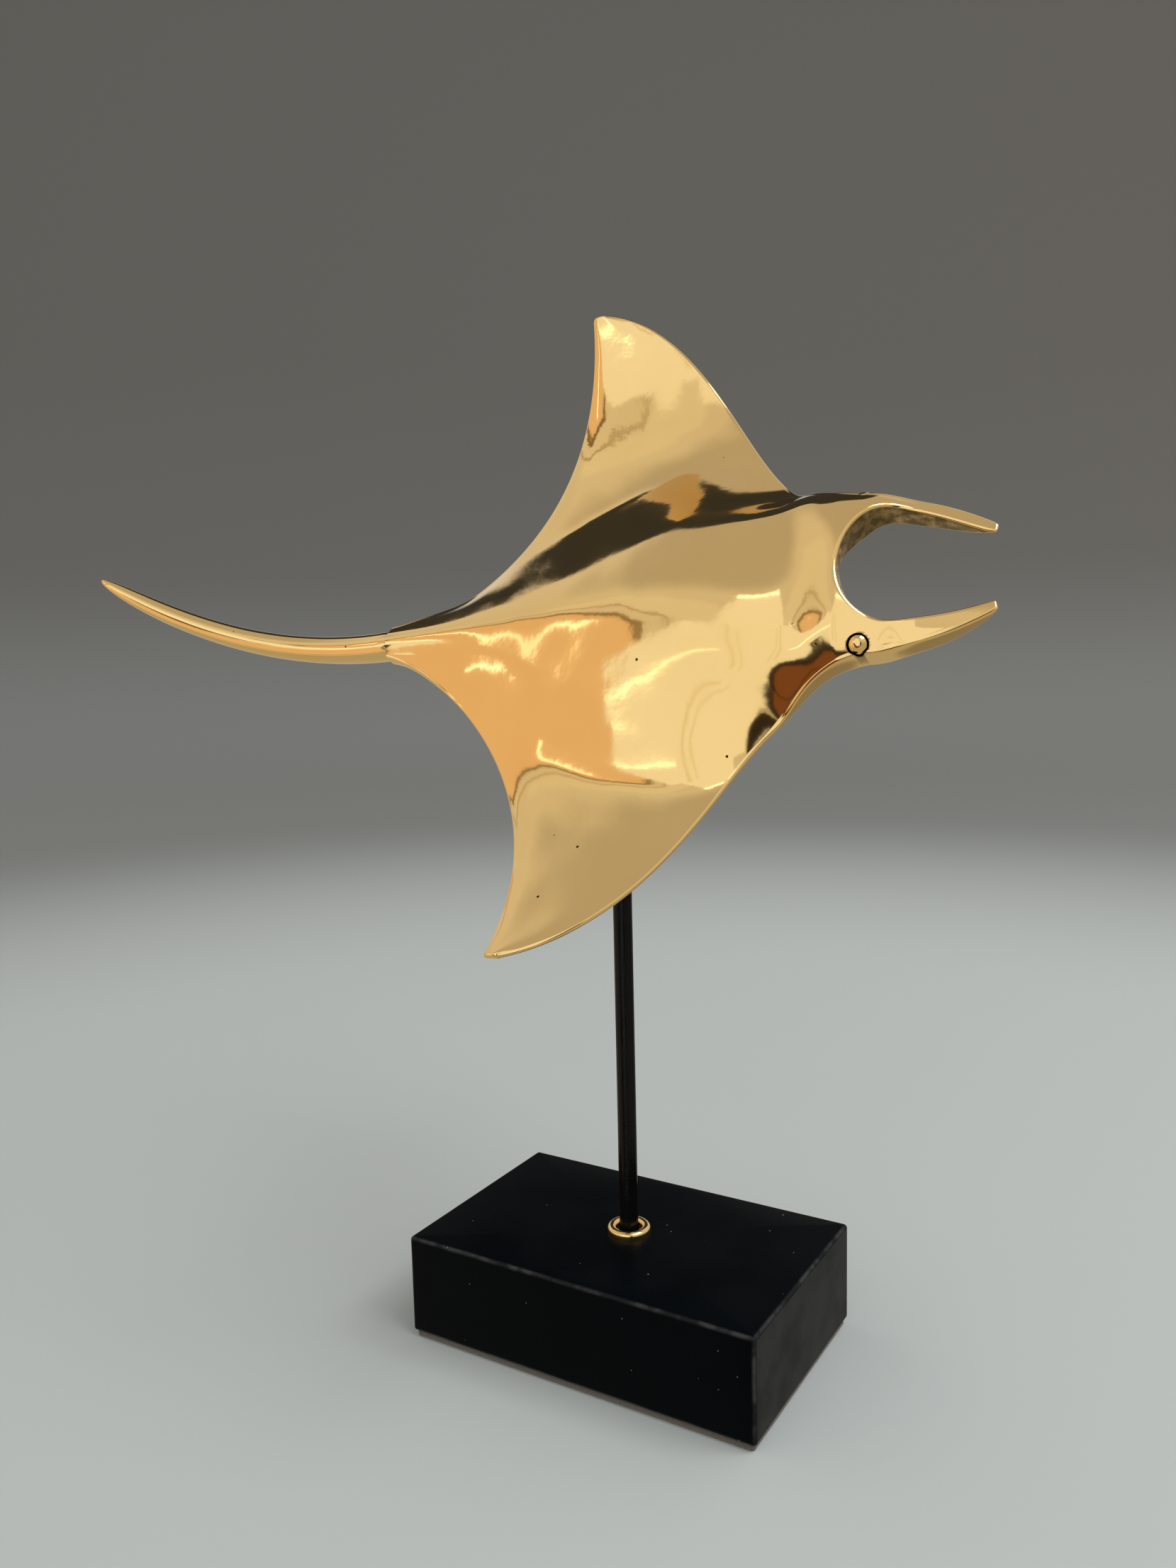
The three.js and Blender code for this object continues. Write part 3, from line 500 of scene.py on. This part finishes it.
# The bore for the bush, the tarnish round the bore and the dark brown of the eye pockets are in metres, in
# the frame of the whole object.
BORE_RADIUS, BORE_FOOT, BORE_TOP = 0.0048, 0.145, 0.2383
BORE_TARNISH_RADIUS, BORE_TARNISH_EDGE, BORE_TARNISH_TOP = 0.0056, 0.0008, 0.239
EYE_POCKET_DARK_EDGE = 0.0001


def pose_turn():
    """The turn of the figure: banked about its length, nose up, then turned to its heading."""
    (cb, sb), (cn, sn), (ch, sh) = [(np.cos(a), np.sin(a)) for a in (RAY_BANK, RAY_NOSE_UP, RAY_HEADING)]
    bank = np.array([[1, 0, 0], [0, cb, -sb], [0, sb, cb]])
    nose = np.array([[cn, 0, -sn], [0, 1, 0], [sn, 0, cn]])
    heading = np.array([[ch, -sh, 0], [sh, ch, 0], [0, 0, 1]])
    return heading @ nose @ bank


def in_place(points):
    """Points of the figure's own frame, turned, lifted to its height and in metres."""
    return (points @ pose_turn().T + [0, 0, RAY_HEIGHT]) / 1000


def own_frame(points):
    """Points of the finished pieces, back in the figure's own frame and in millimetres."""
    return (points * 1000 - [0, 0, RAY_HEIGHT]) @ pose_turn()


def edge_curve(start, reach, end, back, share):
    """A cubic Bezier line between two points of the plan: the handles are reaches from each end."""
    t = np.asarray(share)[:, None]
    start, end = np.array(start, float), np.array(end, float)
    first, last = start * (1 - t) ** 3, end * t**3
    return first + (start + reach) * 3 * t * (1 - t) ** 2 + (end + back) * 3 * t**2 * (1 - t) + last


def trailing_edge(share):
    """The wing's rear edge, from the tail's root to the wing tip."""
    root = [TAIL_ROOT_X, TAIL_ROOT_RADIUS]
    return edge_curve(root, TRAILING_ROOT_REACH, REAR_WING_TIP, TRAILING_TIP_REACH, share)


def leading_edge(share):
    """The wing's front edge, from the head's corner to the wing tip."""
    return edge_curve(HEAD_CORNER, LEADING_ROOT_REACH, FRONT_WING_TIP, LEADING_TIP_REACH, share)


def mouth_edge(share, side):
    """The mouth's rim, from its deepest point to the inside of the horn's root, set a little to the left."""
    root = MOUTH_WIDE + side * MOUTH_SKEW
    return edge_curve(MOUTH_BACK, MOUTH_BACK_REACH, root, MOUTH_SIDE_REACH, share)


def horn_inside(share, side):
    """The horn's inner edge, from its root to the tip."""
    root = MOUTH_WIDE + side * MOUTH_SKEW
    return edge_curve(root, HORN_INSIDE_ROOT_REACH, HORN_INNER_TIP, HORN_INSIDE_TIP_REACH, share)


def horn_outside(share):
    """The horn's outer edge, from the head's corner to the tip."""
    return edge_curve(HEAD_CORNER, HORN_OUTSIDE_ROOT_REACH, HORN_OUTER_TIP, HORN_OUTSIDE_TIP_REACH, share)


def ease(low, high, value):
    """A step from 0 to 1 between two values with no kink: six times the fifth power less fifteen times the
    fourth plus ten times the third."""
    t = np.clip((value - low) / (high - low), 0, 1)
    return t**3 * (t * (6 * t - 15) + 10)


def along(four, share):
    """A cubic through four controls, by Bernstein weights."""
    t = np.clip(share, 0, 1)
    first, last = four[0] * (1 - t) ** 3, four[3] * t**3
    return first + four[1] * 3 * t * (1 - t) ** 2 + four[2] * 3 * t**2 * (1 - t) + last


def back_and_belly(x, y, chord, span, side):
    """Heights of the upper and lower skin over a place of the plan. A thin sheet falls from the shoulders and
    lifts again to the wing tips, a ridged back stands proud of it by a soft maximum, the belly hollows under
    it, and towards the front both blend into the head, whose horns and cheeks have heights of their own. The
    head is rolled a little, by a lift that grows with the distance from the middle."""
    body = (x - TAIL_ROOT_X) / (MOUTH_BACK[0] - TAIL_ROOT_X)
    fairing = ease(TAIL_ROOT_X, TAIL_ROOT_X + FAIRING_LENGTH, x)
    sheet = WING_TIP_LIFT * (y / HALF_SPAN) ** 2 - SHOULDER_SLOPE * np.hypot(y, BACK_ROUNDING)
    sheet = sheet * fairing
    swell = 1 - (2 * chord - 1) ** SWELL_POWER
    half = EDGE_HALF + (ROOT_HALF - TIP_LOSS * y / HALF_SPAN - EDGE_HALF) * swell
    thinning = 1 - (1 - swell) * ease(0, FLANK_FADE_SHARE, span)
    rounding = along(FLANK_ROUNDINGS, body)
    flank = along(RIDGE_HEIGHTS, body)
    flank = flank - along(FLANK_SLOPES, body) * (np.hypot(y, rounding) - rounding)
    proud = flank - (sheet + half)
    top = sheet + half + thinning * (proud + np.hypot(proud, FLANK_BLEND)) / 2
    hollow = np.exp(-((y / along(HOLLOW_WIDTHS, body)) ** 2))
    rise = along(BELLY_HEIGHTS, body) + SHOULDER_SLOPE * BACK_ROUNDING * fairing + half
    bottom = sheet - half + thinning * rise * hollow
    horn = (x - MOUTH_BACK[0]) / (HORN_INNER_TIP[0] - MOUTH_BACK[0])
    head = ease(MOUTH_BACK[0] - HEAD_BLEND_START, MOUTH_BACK[0] + HEAD_BLEND_END, x)
    head = head * (1 - ease(HEAD_SIDE, HEAD_SHOULDER, y))
    cheek = (np.clip(y - CHEEK_START, 0, None) / (HEAD_CORNER[1] - CHEEK_START)) ** CHEEK_POWER
    cheek = CHEEK_DROP * cheek * ease(CHEEK_REAR, CHEEK_FRONT, x)
    palate = PALATE_HEIGHT * np.exp(-((y / PALATE_WIDTH) ** 2))
    top = top + (along(HORN_TOP_HEIGHTS, horn) - cheek - top) * head
    bottom = bottom + (along(HORN_BOTTOM_HEIGHTS, horn) + palate - bottom) * head
    roll = ease(MOUTH_BACK[0] - ROLL_GAIN_LENGTH, MOUTH_BACK[0], x)
    roll = roll * (1 - ease(HEAD_CORNER[0], HEAD_CORNER[0] + ROLL_LOSS_LENGTH, x))
    lift = side * y * np.tan(HEAD_ROLL) * roll
    return top + lift, bottom + lift


def half_figure(side):
    """One half of the figure. Its plan is chords from the rear edge to the front edge, row by row from the
    middle to the wing tip, and ribs across the horn. The skins are the heights over these, and the rim is the
    outline from the mouth round horn and wing to the tail's root, where a rounded edge joins the skins."""

    def spread(count):
        """Shares from 0 to 1 that lie closer towards both ends: part cosine, part even steps."""
        return (1 - np.cos(np.linspace(0, np.pi, count + 1))) / 2 * 0.7 + np.linspace(0, 0.3, count + 1)

    def lift(flat, height):
        """Places of the plan at their heights, on this half's side."""
        return np.concatenate([flat, height[..., None]], -1) * [1, side, 1]

    def ring(skin_body, skin_horn):
        """A skin's outline: the mouth, the horn's inside, tip and outside, then the wing and the root."""
        return np.concatenate(
            [
                skin_body[: BODY_ROWS + 1, -1],
                skin_horn[1:, 0],
                skin_horn[-1, 1:],
                skin_horn[-2::-1, -1],
                skin_body[BODY_ROWS + ROOT_ROWS + 1 :, -1],
                skin_body[-1, -2::-1],
                skin_body[-2::-1, 0],
            ]
        )

    across = np.linspace(0, 1, ROOT_ROWS + 1)[:, None]
    front = mouth_edge(np.linspace(0, 1, BODY_ROWS + 1), side)
    root = front[-1] + (HEAD_CORNER - front[-1]) * across[1:]
    front = np.concatenate([front, root])
    rear = np.column_stack(
        [np.full(len(front), TAIL_ROOT_X), np.linspace(0, TAIL_ROOT_RADIUS, len(front))]
    )
    wing = spread(WING_ROWS)[1:]
    span = np.concatenate([np.zeros(len(front)), wing])
    front, rear = np.concatenate([front, leading_edge(wing)]), np.concatenate([rear, trailing_edge(wing)])
    chord = spread(CHORD_STEPS)
    plan = rear[:, None] + (front - rear)[:, None] * chord[:, None]
    back, belly = back_and_belly(plan[..., 0], plan[..., 1], chord[None], span[:, None], side)
    length = spread(HORN_RIBS)
    inner, outer = horn_inside(length, side), horn_outside(length)
    horn = inner[:, None] + (outer - inner)[:, None] * across
    horn_back, horn_belly = back_and_belly(horn[..., 0], horn[..., 1], 1.0, 0.0, side)
    upper, lower = lift(plan, back), lift(plan, belly)
    upper_horn, lower_horn = lift(horn, horn_back), lift(horn, horn_belly)
    return upper, lower, upper_horn, lower_horn, ring(upper, upper_horn), ring(lower, lower_horn)


def rounded_rim(above, below):
    """The edge between the two skins all round the outline: outwards along a quarter circle from the upper
    skin, down a straight wall and back along a quarter circle to the lower skin. On a thin edge the two
    quarters make a half circle, and at the tail's root the wall is flat."""
    flat = above[:, :2]
    onward = np.roll(flat, -1, 0) - flat
    onward /= np.maximum(np.linalg.norm(onward, axis=1), 1e-9)[:, None]
    tangent = onward + np.roll(onward, 1, 0)
    tangent /= np.maximum(np.linalg.norm(tangent, axis=1), 1e-9)[:, None]
    outward = np.column_stack([tangent[:, 1], -tangent[:, 0]])
    area = (flat[:, 0] * np.roll(flat[:, 1], -1) - np.roll(flat[:, 0], -1) * flat[:, 1]).sum()
    outward *= np.sign(area)
    half = (above[:, 2] - below[:, 2]) / 2
    radius = np.minimum(RIM_ROUNDING, half) * (flat[:, 0] > TAIL_ROOT_X + 1e-6)
    turn = np.linspace(0, np.pi / 2, RIM_STEPS)
    reach = np.concatenate([np.sin(turn), np.sin(turn[::-1])])
    drop = 1 - np.cos(turn)
    middle = (above[:, 2] + below[:, 2]) / 2
    heights = np.concatenate(
        [
            (middle + half)[:, None] - drop * radius[:, None],
            (middle - half)[:, None] + drop[::-1] * radius[:, None],
        ],
        1,
    )
    ring = flat[:, None] + outward[:, None] * (reach * radius[:, None])[..., None]
    return np.concatenate([ring, heights[..., None]], -1)


def ball(centre, radius, steps=32):
    """A ball as rings from pole to pole."""
    up = np.linspace(0, np.pi, steps)[:, None]
    turn = np.linspace(0, 2 * np.pi, 2 * steps, endpoint=False)
    return np.asarray(centre) + radius * np.stack(
        [np.sin(up) * np.cos(turn), np.sin(up) * np.sin(turn), np.cos(up) + 0 * turn], -1
    )


def eye_centre(side):
    """The middle of an eye: just under the upper skin at the head's corner."""
    sideways = EYE_Y + side * EYE_SKEW
    height = back_and_belly(np.array(EYE_X), np.array(sideways), 1.0, 0.0, side)[0]
    return np.array([EYE_X, side * sideways, height - EYE_SINK - side * EYE_SINK_UNEVEN])


def mouth_wall(points):
    """How far a point lies on the wall inside the mouth, where polishing tools don't reach: it is clear of
    both skins by most of the rim's rounding, and nearer to the middle than the horn's own middle line."""
    x, y, z = points.T
    inside = np.zeros(len(points))
    share = np.linspace(0, 1, 30)
    for side in (1, -1):
        line = (horn_inside(share, side) + horn_outside(share)) / 2
        top, bottom = back_and_belly(x, np.abs(y), 1.0, 0.0, side)
        within = (x > MOUTH_BACK[0] - WALL_START) & (np.abs(y) < np.interp(x, *line.T)) & (y * side >= 0)
        inside += within * ease(*WALL_TOP_EDGE, top - z) * ease(*WALL_FOOT_EDGE, z - bottom)
    return inside


left, right = half_figure(1), half_figure(-1)
grids = [(in_place(half[k]), False, False) for half in (left, right) for k in range(4)]
outline = [np.concatenate([a[:-1], b[::-1][:-1]]) for a, b in ((left[4], right[4]), (left[5], right[5]))]
grids.append((in_place(rounded_rim(*outline)), True, False))
casting = skin("polished_casting", *grids, sharp=CASTING_SHARP)

turn = np.linspace(0, 2 * np.pi, ROUND_STEPS, endpoint=False)
socket_ends = np.repeat([TAIL_ROOT_X - SOCKET_MOUTH, TAIL_ROOT_X + SOCKET_DEPTH], 2)
socket_radius = SOCKET_RADIUS * np.array([[0], [1], [1], [0]])
socket_x = socket_ends[:, None] + 0 * turn
socket = np.stack([socket_x, socket_radius * np.cos(turn), socket_radius * np.sin(turn)], -1)
bore_section = [(0, BORE_FOOT), (BORE_RADIUS, BORE_FOOT), (BORE_RADIUS, BORE_TOP), (0, BORE_TOP)]
pockets = skin(
    "pocket_tool",
    (in_place(ball(eye_centre(1), POCKET_RADIUS)), False, True),
    (in_place(ball(eye_centre(-1), POCKET_RADIUS)), False, True),
    (in_place(socket), False, True),
    (turned(bore_section, ROUND_STEPS), False, True),
)
cut = casting.modifiers.new("pockets", "BOOLEAN")
cut.operation, cut.solver, cut.object = "DIFFERENCE", "EXACT", pockets
bpy.context.view_layer.update()
pocketed = bpy.data.meshes.new_from_object(casting.evaluated_get(bpy.context.evaluated_depsgraph_get()))
casting.modifiers.clear()
casting.data = pocketed
pocketed.name = "polished_casting"
bpy.data.objects.remove(pockets)
pocketed.shade_smooth()
pocketed.set_sharp_from_angle(angle=np.radians(CASTING_SHARP))

spots = places_of(pocketed)
near_eyes = np.minimum(
    *[np.linalg.norm(spots - in_place(eye_centre(side)), axis=1) for side in (1, -1)]
)
near_rod = np.hypot(spots[:, 0], spots[:, 1])
# The walls of the eye pockets are coloured dark brown.
eye_pocket_dark = np.clip((POCKET_RADIUS / 1000 + EYE_POCKET_DARK_EDGE - near_eyes) / EYE_POCKET_DARK_EDGE, 0, 1)
bore_tarnish = np.clip((BORE_TARNISH_RADIUS - near_rod) / BORE_TARNISH_EDGE, 0, 1)
bore_tarnish *= spots[:, 2] < BORE_TARNISH_TOP
wall_tarnish = WALL_TARNISH * mouth_wall(own_frame(spots))
# One stored mask holds the dark brown of the eye pockets' walls together with the tarnish round the bore and
# inside the mouth.
store(pocketed, "tarnish", np.maximum(np.maximum(eye_pocket_dark, bore_tarnish), wall_tarnish))
pocketed.materials.clear()
pocketed.materials.append(brass("ray_brass", waves=0.9, pits=0.1, tarnish="tarnish"))
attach(casting, "ray")
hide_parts("ray_casting")


# Tail: a whip cast by itself, with a spigot brazed into a socket at the body's end.
# It tapers to a blunt point and curves up and away from the wing.

TAIL_PLANE_TURN = np.radians(50)
TAIL_END, TAIL_START_REACH, TAIL_END_REACH = [118, 41], [41, 0], [-37, -28]
TAIL_TAPER, TAIL_SEAM, TAIL_SEAM_RADIUS, TAIL_LIP_LOSS = 1.9, 0.3, 4.6, 0.15
TAIL_SPIGOT_RADIUS, TAIL_SPIGOT_END, TAIL_RINGS, TAIL_BLUNTNESS = 3, -76.3, 90, 10


def tail_rings():
    """Circles along a cubic Bezier line: the radius falls evenly from the root, and the tip closes like a
    blunt bullet. A spigot goes ahead of the root."""
    share = np.sin(np.linspace(0, np.pi / 2, TAIL_RINGS))
    back, sideways = edge_curve([0, 0], TAIL_START_REACH, TAIL_END, TAIL_END_REACH, share).T
    line = np.column_stack(
        [
            TAIL_ROOT_X - TAIL_SEAM - back,
            sideways * np.cos(TAIL_PLANE_TURN),
            sideways * np.sin(TAIL_PLANE_TURN),
        ]
    )
    radius = (TAIL_ROOT_RADIUS - TAIL_TAPER * share) * np.sqrt(1 - share**TAIL_BLUNTNESS)
    spigot = np.array([[TAIL_SPIGOT_END, 0, 0]] * 2 + [[TAIL_ROOT_X - TAIL_SEAM, 0, 0]] * 2)
    line = np.concatenate([spigot, line])
    radius = np.concatenate([[0, TAIL_SPIGOT_RADIUS, TAIL_SPIGOT_RADIUS, TAIL_SEAM_RADIUS], radius])
    root = len(spigot)
    radius[root] = TAIL_ROOT_RADIUS - TAIL_LIP_LOSS
    run = np.gradient(line[root:], axis=0)
    run = np.concatenate([np.repeat([[-1.0, 0, 0]], root, 0), run / np.linalg.norm(run, axis=1)[:, None]])
    out = np.array([0, -np.sin(TAIL_PLANE_TURN), np.cos(TAIL_PLANE_TURN)])
    wide = np.cross(run, out)
    turn = np.linspace(0, 2 * np.pi, ROUND_STEPS, endpoint=False)[:, None]
    return line[:, None] + radius[:, None, None] * (out * np.cos(turn) + wide[:, None] * np.sin(turn))


tail = skin("whip_tail", (in_place(tail_rings()), False, True))
tail.data.materials.append(brass("tail_brass", waves=0.3, pits=0.05))
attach(tail, "ray")
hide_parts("tail")


# Eyes: polished brass balls, pressed into the pockets at the head's corners.
# The left one sits a little deeper than the right one, as work by hand goes.

eye_brass = brass("eye_brass", waves=0.05, pits=0.03)
for name, side in (("left_eye", 1), ("right_eye", -1)):
    eye = skin(name + "_ball", (in_place(ball(eye_centre(side), EYE_RADIUS, steps=24)), False, True))
    eye.data.materials.append(eye_brass)
    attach(eye, "ray")
    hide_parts(name)


# Floor and backdrop: a pale floor that curves up into a grey backdrop on all sides of the sculpture, its
# colour painted darker away from the sculpture and up the backdrop as painted fall-off of the light.
# It is seen by the camera alone and gives the studio's light free way. It isn't part of the object.

FLOOR_RADIUS, BACKDROP_BEND, BACKDROP_HEIGHT = 1.5, 0.8, 6.0
FLOOR_PALE, FLOOR_FAR_SHADE, BACKDROP_GREY_SHADE = (0.5, 0.545, 0.555), (0.225, 0.235, 0.237), (0.15, 0.15, 0.145)

turn = np.linspace(0, np.pi / 2, 16)
bowl_section = [(radius, 0) for radius in np.linspace(0, FLOOR_RADIUS, 7)]
bend = np.column_stack([np.sin(turn), 1 - np.cos(turn)])[1:] * BACKDROP_BEND + [FLOOR_RADIUS, 0]
bowl_section += [tuple(point) for point in bend]
bowl_section += [(FLOOR_RADIUS + BACKDROP_BEND, BACKDROP_HEIGHT)]
studio_bowl = skin("studio_bowl", (turned(bowl_section, steps=96), False, True), sharp=60)

bowl_paint, tree, shader, place = finish_named("bowl_paint")
level_place = node(tree, "ShaderNodeVectorMath", place, (1, 1, 0), operation="MULTIPLY").outputs["Vector"]
away = node(tree, "ShaderNodeVectorMath", level_place, operation="LENGTH").outputs["Value"]
up = node(tree, "ShaderNodeSeparateXYZ", place).outputs["Z"]
# Paler round the sculpture, darker further out and higher up: painted fall-off of the studio's light.
pale = blend(tree, between(tree, away, 0.45, 1.2), FLOOR_PALE, FLOOR_FAR_SHADE)
grey = blend(tree, between(tree, up, 0.05, 0.4), pale, BACKDROP_GREY_SHADE)
tree.links.new(grey, shader.inputs["Base Color"])
shader.inputs["Roughness"].default_value = 0.9
studio_bowl.data.materials.append(bowl_paint)
studio_bowl.visible_glossy = studio_bowl.visible_diffuse = studio_bowl.visible_shadow = False


# Light: a soft studio. Above it is pale, to the viewer's left stands a warm card with a white box of light
# beside it, and behind the sculpture hangs a dark cloth. A large soft lamp gives the shadow on the floor.
# A patch of the studio is its softness, how far its sides are moved out, its tone and its corners.

VIEW_RIGHT, VIEW_BACK = np.array([0.854, 0.520]), np.array([-0.520, 0.854])
STUDIO_LOW, STUDIO_LEVEL, STUDIO_UPPER = (0.48, 0.46, 0.38), (0.50, 0.48, 0.44), (0.74, 0.72, 0.67)
STUDIO_TOP, STUDIO_CLOUDS, STUDIO_SEEN = (0.52, 0.50, 0.46), (0.58, 0.53, 0.45), (0.3, 0.3, 0.295)
BLACK_FLAG, BROWN_FLAG, GLEAM = (0.03, 0.022, 0.018), (0.2, 0.08, 0.033), (2.2, 2.2, 2.1)
BOX_WHITE, UPPER_BOX_WHITE, BOX_FOLD = (1.0, 1.03, 1.02), (1.0, 1.03, 1.0), (0.86, 0.8, 0.62)
CARD_LINE, CARD_BORDER, CARD_OUTLINE = (0.46, 0.38, 0.27), (0.76, 0.73, 0.65), (0.22, 0.15, 0.07)
CARD_WARM, LIGHT_BAND = (0.86, 0.64, 0.43), (0.80, 0.78, 0.70)
DARK_CLOTH, DIM_SIDE = (0.04, 0.04, 0.038), (0.28, 0.26, 0.22)
WARM_CARD = [(-112, -8), (-84, -28), (-58, -26), (-62, 14), (-67, 30), (-80, 33), (-108, 25)]
STUDIO_PATCHES = [
    (0.02, 0, DARK_CLOTH, [(-135, 47), (-172, 9), (-205, 25), (-200, 60), (-175, 74), (-152, 60)]),
    (0.05, 0, DIM_SIDE, [(80, -2), (80, -60), (150, -65), (150, -8)]),
    (0.02, 0, LIGHT_BAND, [(-104, 43), (-82, 35), (-46, 29), (-42, 47), (-80, 45)]),
    (0.006, 0.1, CARD_LINE, WARM_CARD),
    (0.006, 0.086, CARD_BORDER, WARM_CARD),
    (0.006, 0.028, CARD_OUTLINE, WARM_CARD),
    (0.012, 0, CARD_WARM, WARM_CARD),
    (0.012, 0, BOX_WHITE, [(-71, 8), (-22, -25), (-4, -20), (2, -5), (3, 20), (-58, 33)]),
    (0.012, 0, UPPER_BOX_WHITE, [(-50, 30), (-10, 18), (-8, 47), (-40, 47)]),
    (0.008, 0, BOX_FOLD, [(-44.5, 34), (-43, 34), (-35.5, -4), (-37, -4)]),
    (0.008, 0, BOX_FOLD, [(-39.4, 33), (-38.4, 33), (-30, -8), (-31, -8)]),
    (0.012, 0, BLACK_FLAG, [(-61, 7), (-46, -36), (-28, -45), (-24, -27), (-53, 8)]),
    (0.012, 0, BLACK_FLAG, [(-29, -45), (-3, -35), (0, -22), (-24, -25)]),
    (0.012, 0, BLACK_FLAG, [(-1, -26), (12, -16), (16, 4), (9, 22), (3, 20), (2, -5)]),
    (0.015, 0, BROWN_FLAG, [(-59, 5), (-46, -34), (-28, -43), (-28, -31), (-55, 5)]),
    (0.015, 0, BROWN_FLAG, [(-27, -43), (-3, -33), (0, -27), (-27, -30)]),
    (0.006, 0, GLEAM, [(-73.5, 29), (-75, 29), (-78.5, 10), (-77.2, 10)]),
    (0.006, 0, GLEAM, [(-77.8, 4), (-79.2, 4), (-82, -9), (-80.6, -9)]),
    (0.006, 0, GLEAM, [(-42, 45.5), (-42, 47.5), (-27, 48), (-27, 46)]),
    (0.006, 0, GLEAM, [(-70, 9.8), (-46, 17.6), (-46, 18.8), (-70, 10.8)]),
]
LAMP_LENGTH, LAMP_WIDTH, LAMP_POWER, LAMP_DISTANCE, LAMP_AIM_HEIGHT = 1.2, 0.8, 14, 1.6, 0.2
LAMP_AZIMUTH, LAMP_ELEVATION = 60, 55


def bearing(azimuth, elevation):
    """A direction from the sculpture: azimuth in degrees from the viewer, positive to the viewer's right, and
    elevation in degrees."""
    a, e = np.radians(azimuth), np.radians(elevation)
    flat = np.cos(a) * -VIEW_BACK + np.sin(a) * VIEW_RIGHT
    return np.array([*(flat * np.cos(e)), np.sin(e)])


def toward(direction):
    """How far the looked-at direction points along another one: the dot product of the two."""
    made = node(tree, "ShaderNodeVectorMath", way, tuple(direction), operation="DOT_PRODUCT")
    return made.outputs["Value"]


def patch(soft, grow, corners):
    """A soft-edged patch of the studio with straight sides between its corners, each an azimuth and an
    elevation: the product of the shares that lie inside of every side, where a side is the plane through two
    corners and the sculpture."""
    corners = np.array([bearing(*corner) for corner in corners])
    middle = corners.mean(0)
    mask = between(tree, toward(middle), 0.0, 0.1)
    for start, end in zip(corners, np.roll(corners, -1, 0)):
        square = np.cross(start, end)
        square *= np.sign(square @ middle) / np.linalg.norm(square)
        mask = math(tree, "MULTIPLY", mask, between(tree, toward(square), -soft - grow, soft - grow))
    return mask


world = bpy.data.worlds.new("soft_studio")
bpy.context.scene.world = world
world.use_nodes = True
tree = world.node_tree
way = node(tree, "ShaderNodeTexCoord").outputs["Generated"]
height = toward((0, 0, 1))
tones = blend(tree, between(tree, height, -0.30, -0.02), STUDIO_LOW, STUDIO_LEVEL)
tones = blend(tree, between(tree, height, 0.10, 0.36), tones, STUDIO_UPPER)
tones = blend(tree, between(tree, height, 0.72, 0.84), tones, STUDIO_TOP)
clouds = between(tree, noise(tree, way, scale=2.2, detail=3), 0.4, 0.7, start=0.0, end=0.22)
tones = blend(tree, clouds, tones, STUDIO_CLOUDS)
for soft, grow, tone, corners in STUDIO_PATCHES:
    tones = blend(tree, patch(soft, grow, corners), tones, tone)
seen = node(tree, "ShaderNodeLightPath").outputs["Is Camera Ray"]
background = tree.nodes["Background"].inputs
tree.links.new(blend(tree, seen, tones, STUDIO_SEEN), background["Color"])
background["Strength"].default_value = 1

lamp = bpy.data.lights.new("soft_lamp", "AREA")
lamp.shape, lamp.size, lamp.size_y, lamp.energy = "RECTANGLE", LAMP_LENGTH, LAMP_WIDTH, LAMP_POWER
lamp_object = bpy.data.objects.new("soft_lamp", lamp)
bpy.context.collection.objects.link(lamp_object)
lamp_way = bearing(LAMP_AZIMUTH, LAMP_ELEVATION) * LAMP_DISTANCE
lamp_object.location = lamp_way + [0, 0, LAMP_AIM_HEIGHT]
lamp_object.rotation_euler = Vector(-lamp_way).to_track_quat("-Z", "Y").to_euler()
bpy.context.scene.view_settings.view_transform = "Standard"


# Camera: at the photograph's viewing angle, to the figure's right and a little ahead of it.
# It looks slightly down on the sculpture and is tilted by about one degree.

CAMERA_PLACE, SENSOR_WIDTH, LENS = [0.1859, -0.3244, 0.2233], 36, 28.03
CAMERA_YAW, CAMERA_PITCH, CAMERA_ROLL = np.radians([31.33, 6.76, -1.35])

camera_data = bpy.data.cameras.new("viewer")
camera_data.sensor_width, camera_data.lens = SENSOR_WIDTH, LENS
camera = bpy.data.objects.new("viewer", camera_data)
level = np.array([np.cos(CAMERA_YAW), np.sin(CAMERA_YAW), 0])
behind = np.array([np.sin(CAMERA_YAW), -np.cos(CAMERA_YAW), 0])
backward = behind * np.cos(CAMERA_PITCH) + [0, 0, np.sin(CAMERA_PITCH)]
upright = np.cross(backward, level)
across = level * np.cos(CAMERA_ROLL) + upright * np.sin(CAMERA_ROLL)
upward = upright * np.cos(CAMERA_ROLL) - level * np.sin(CAMERA_ROLL)
turned_and_placed = np.column_stack([across, upward, backward, CAMERA_PLACE])
camera.matrix_world = Matrix(np.vstack([turned_and_placed, [0, 0, 0, 1]]))
bpy.context.collection.objects.link(camera)
bpy.context.scene.camera = camera
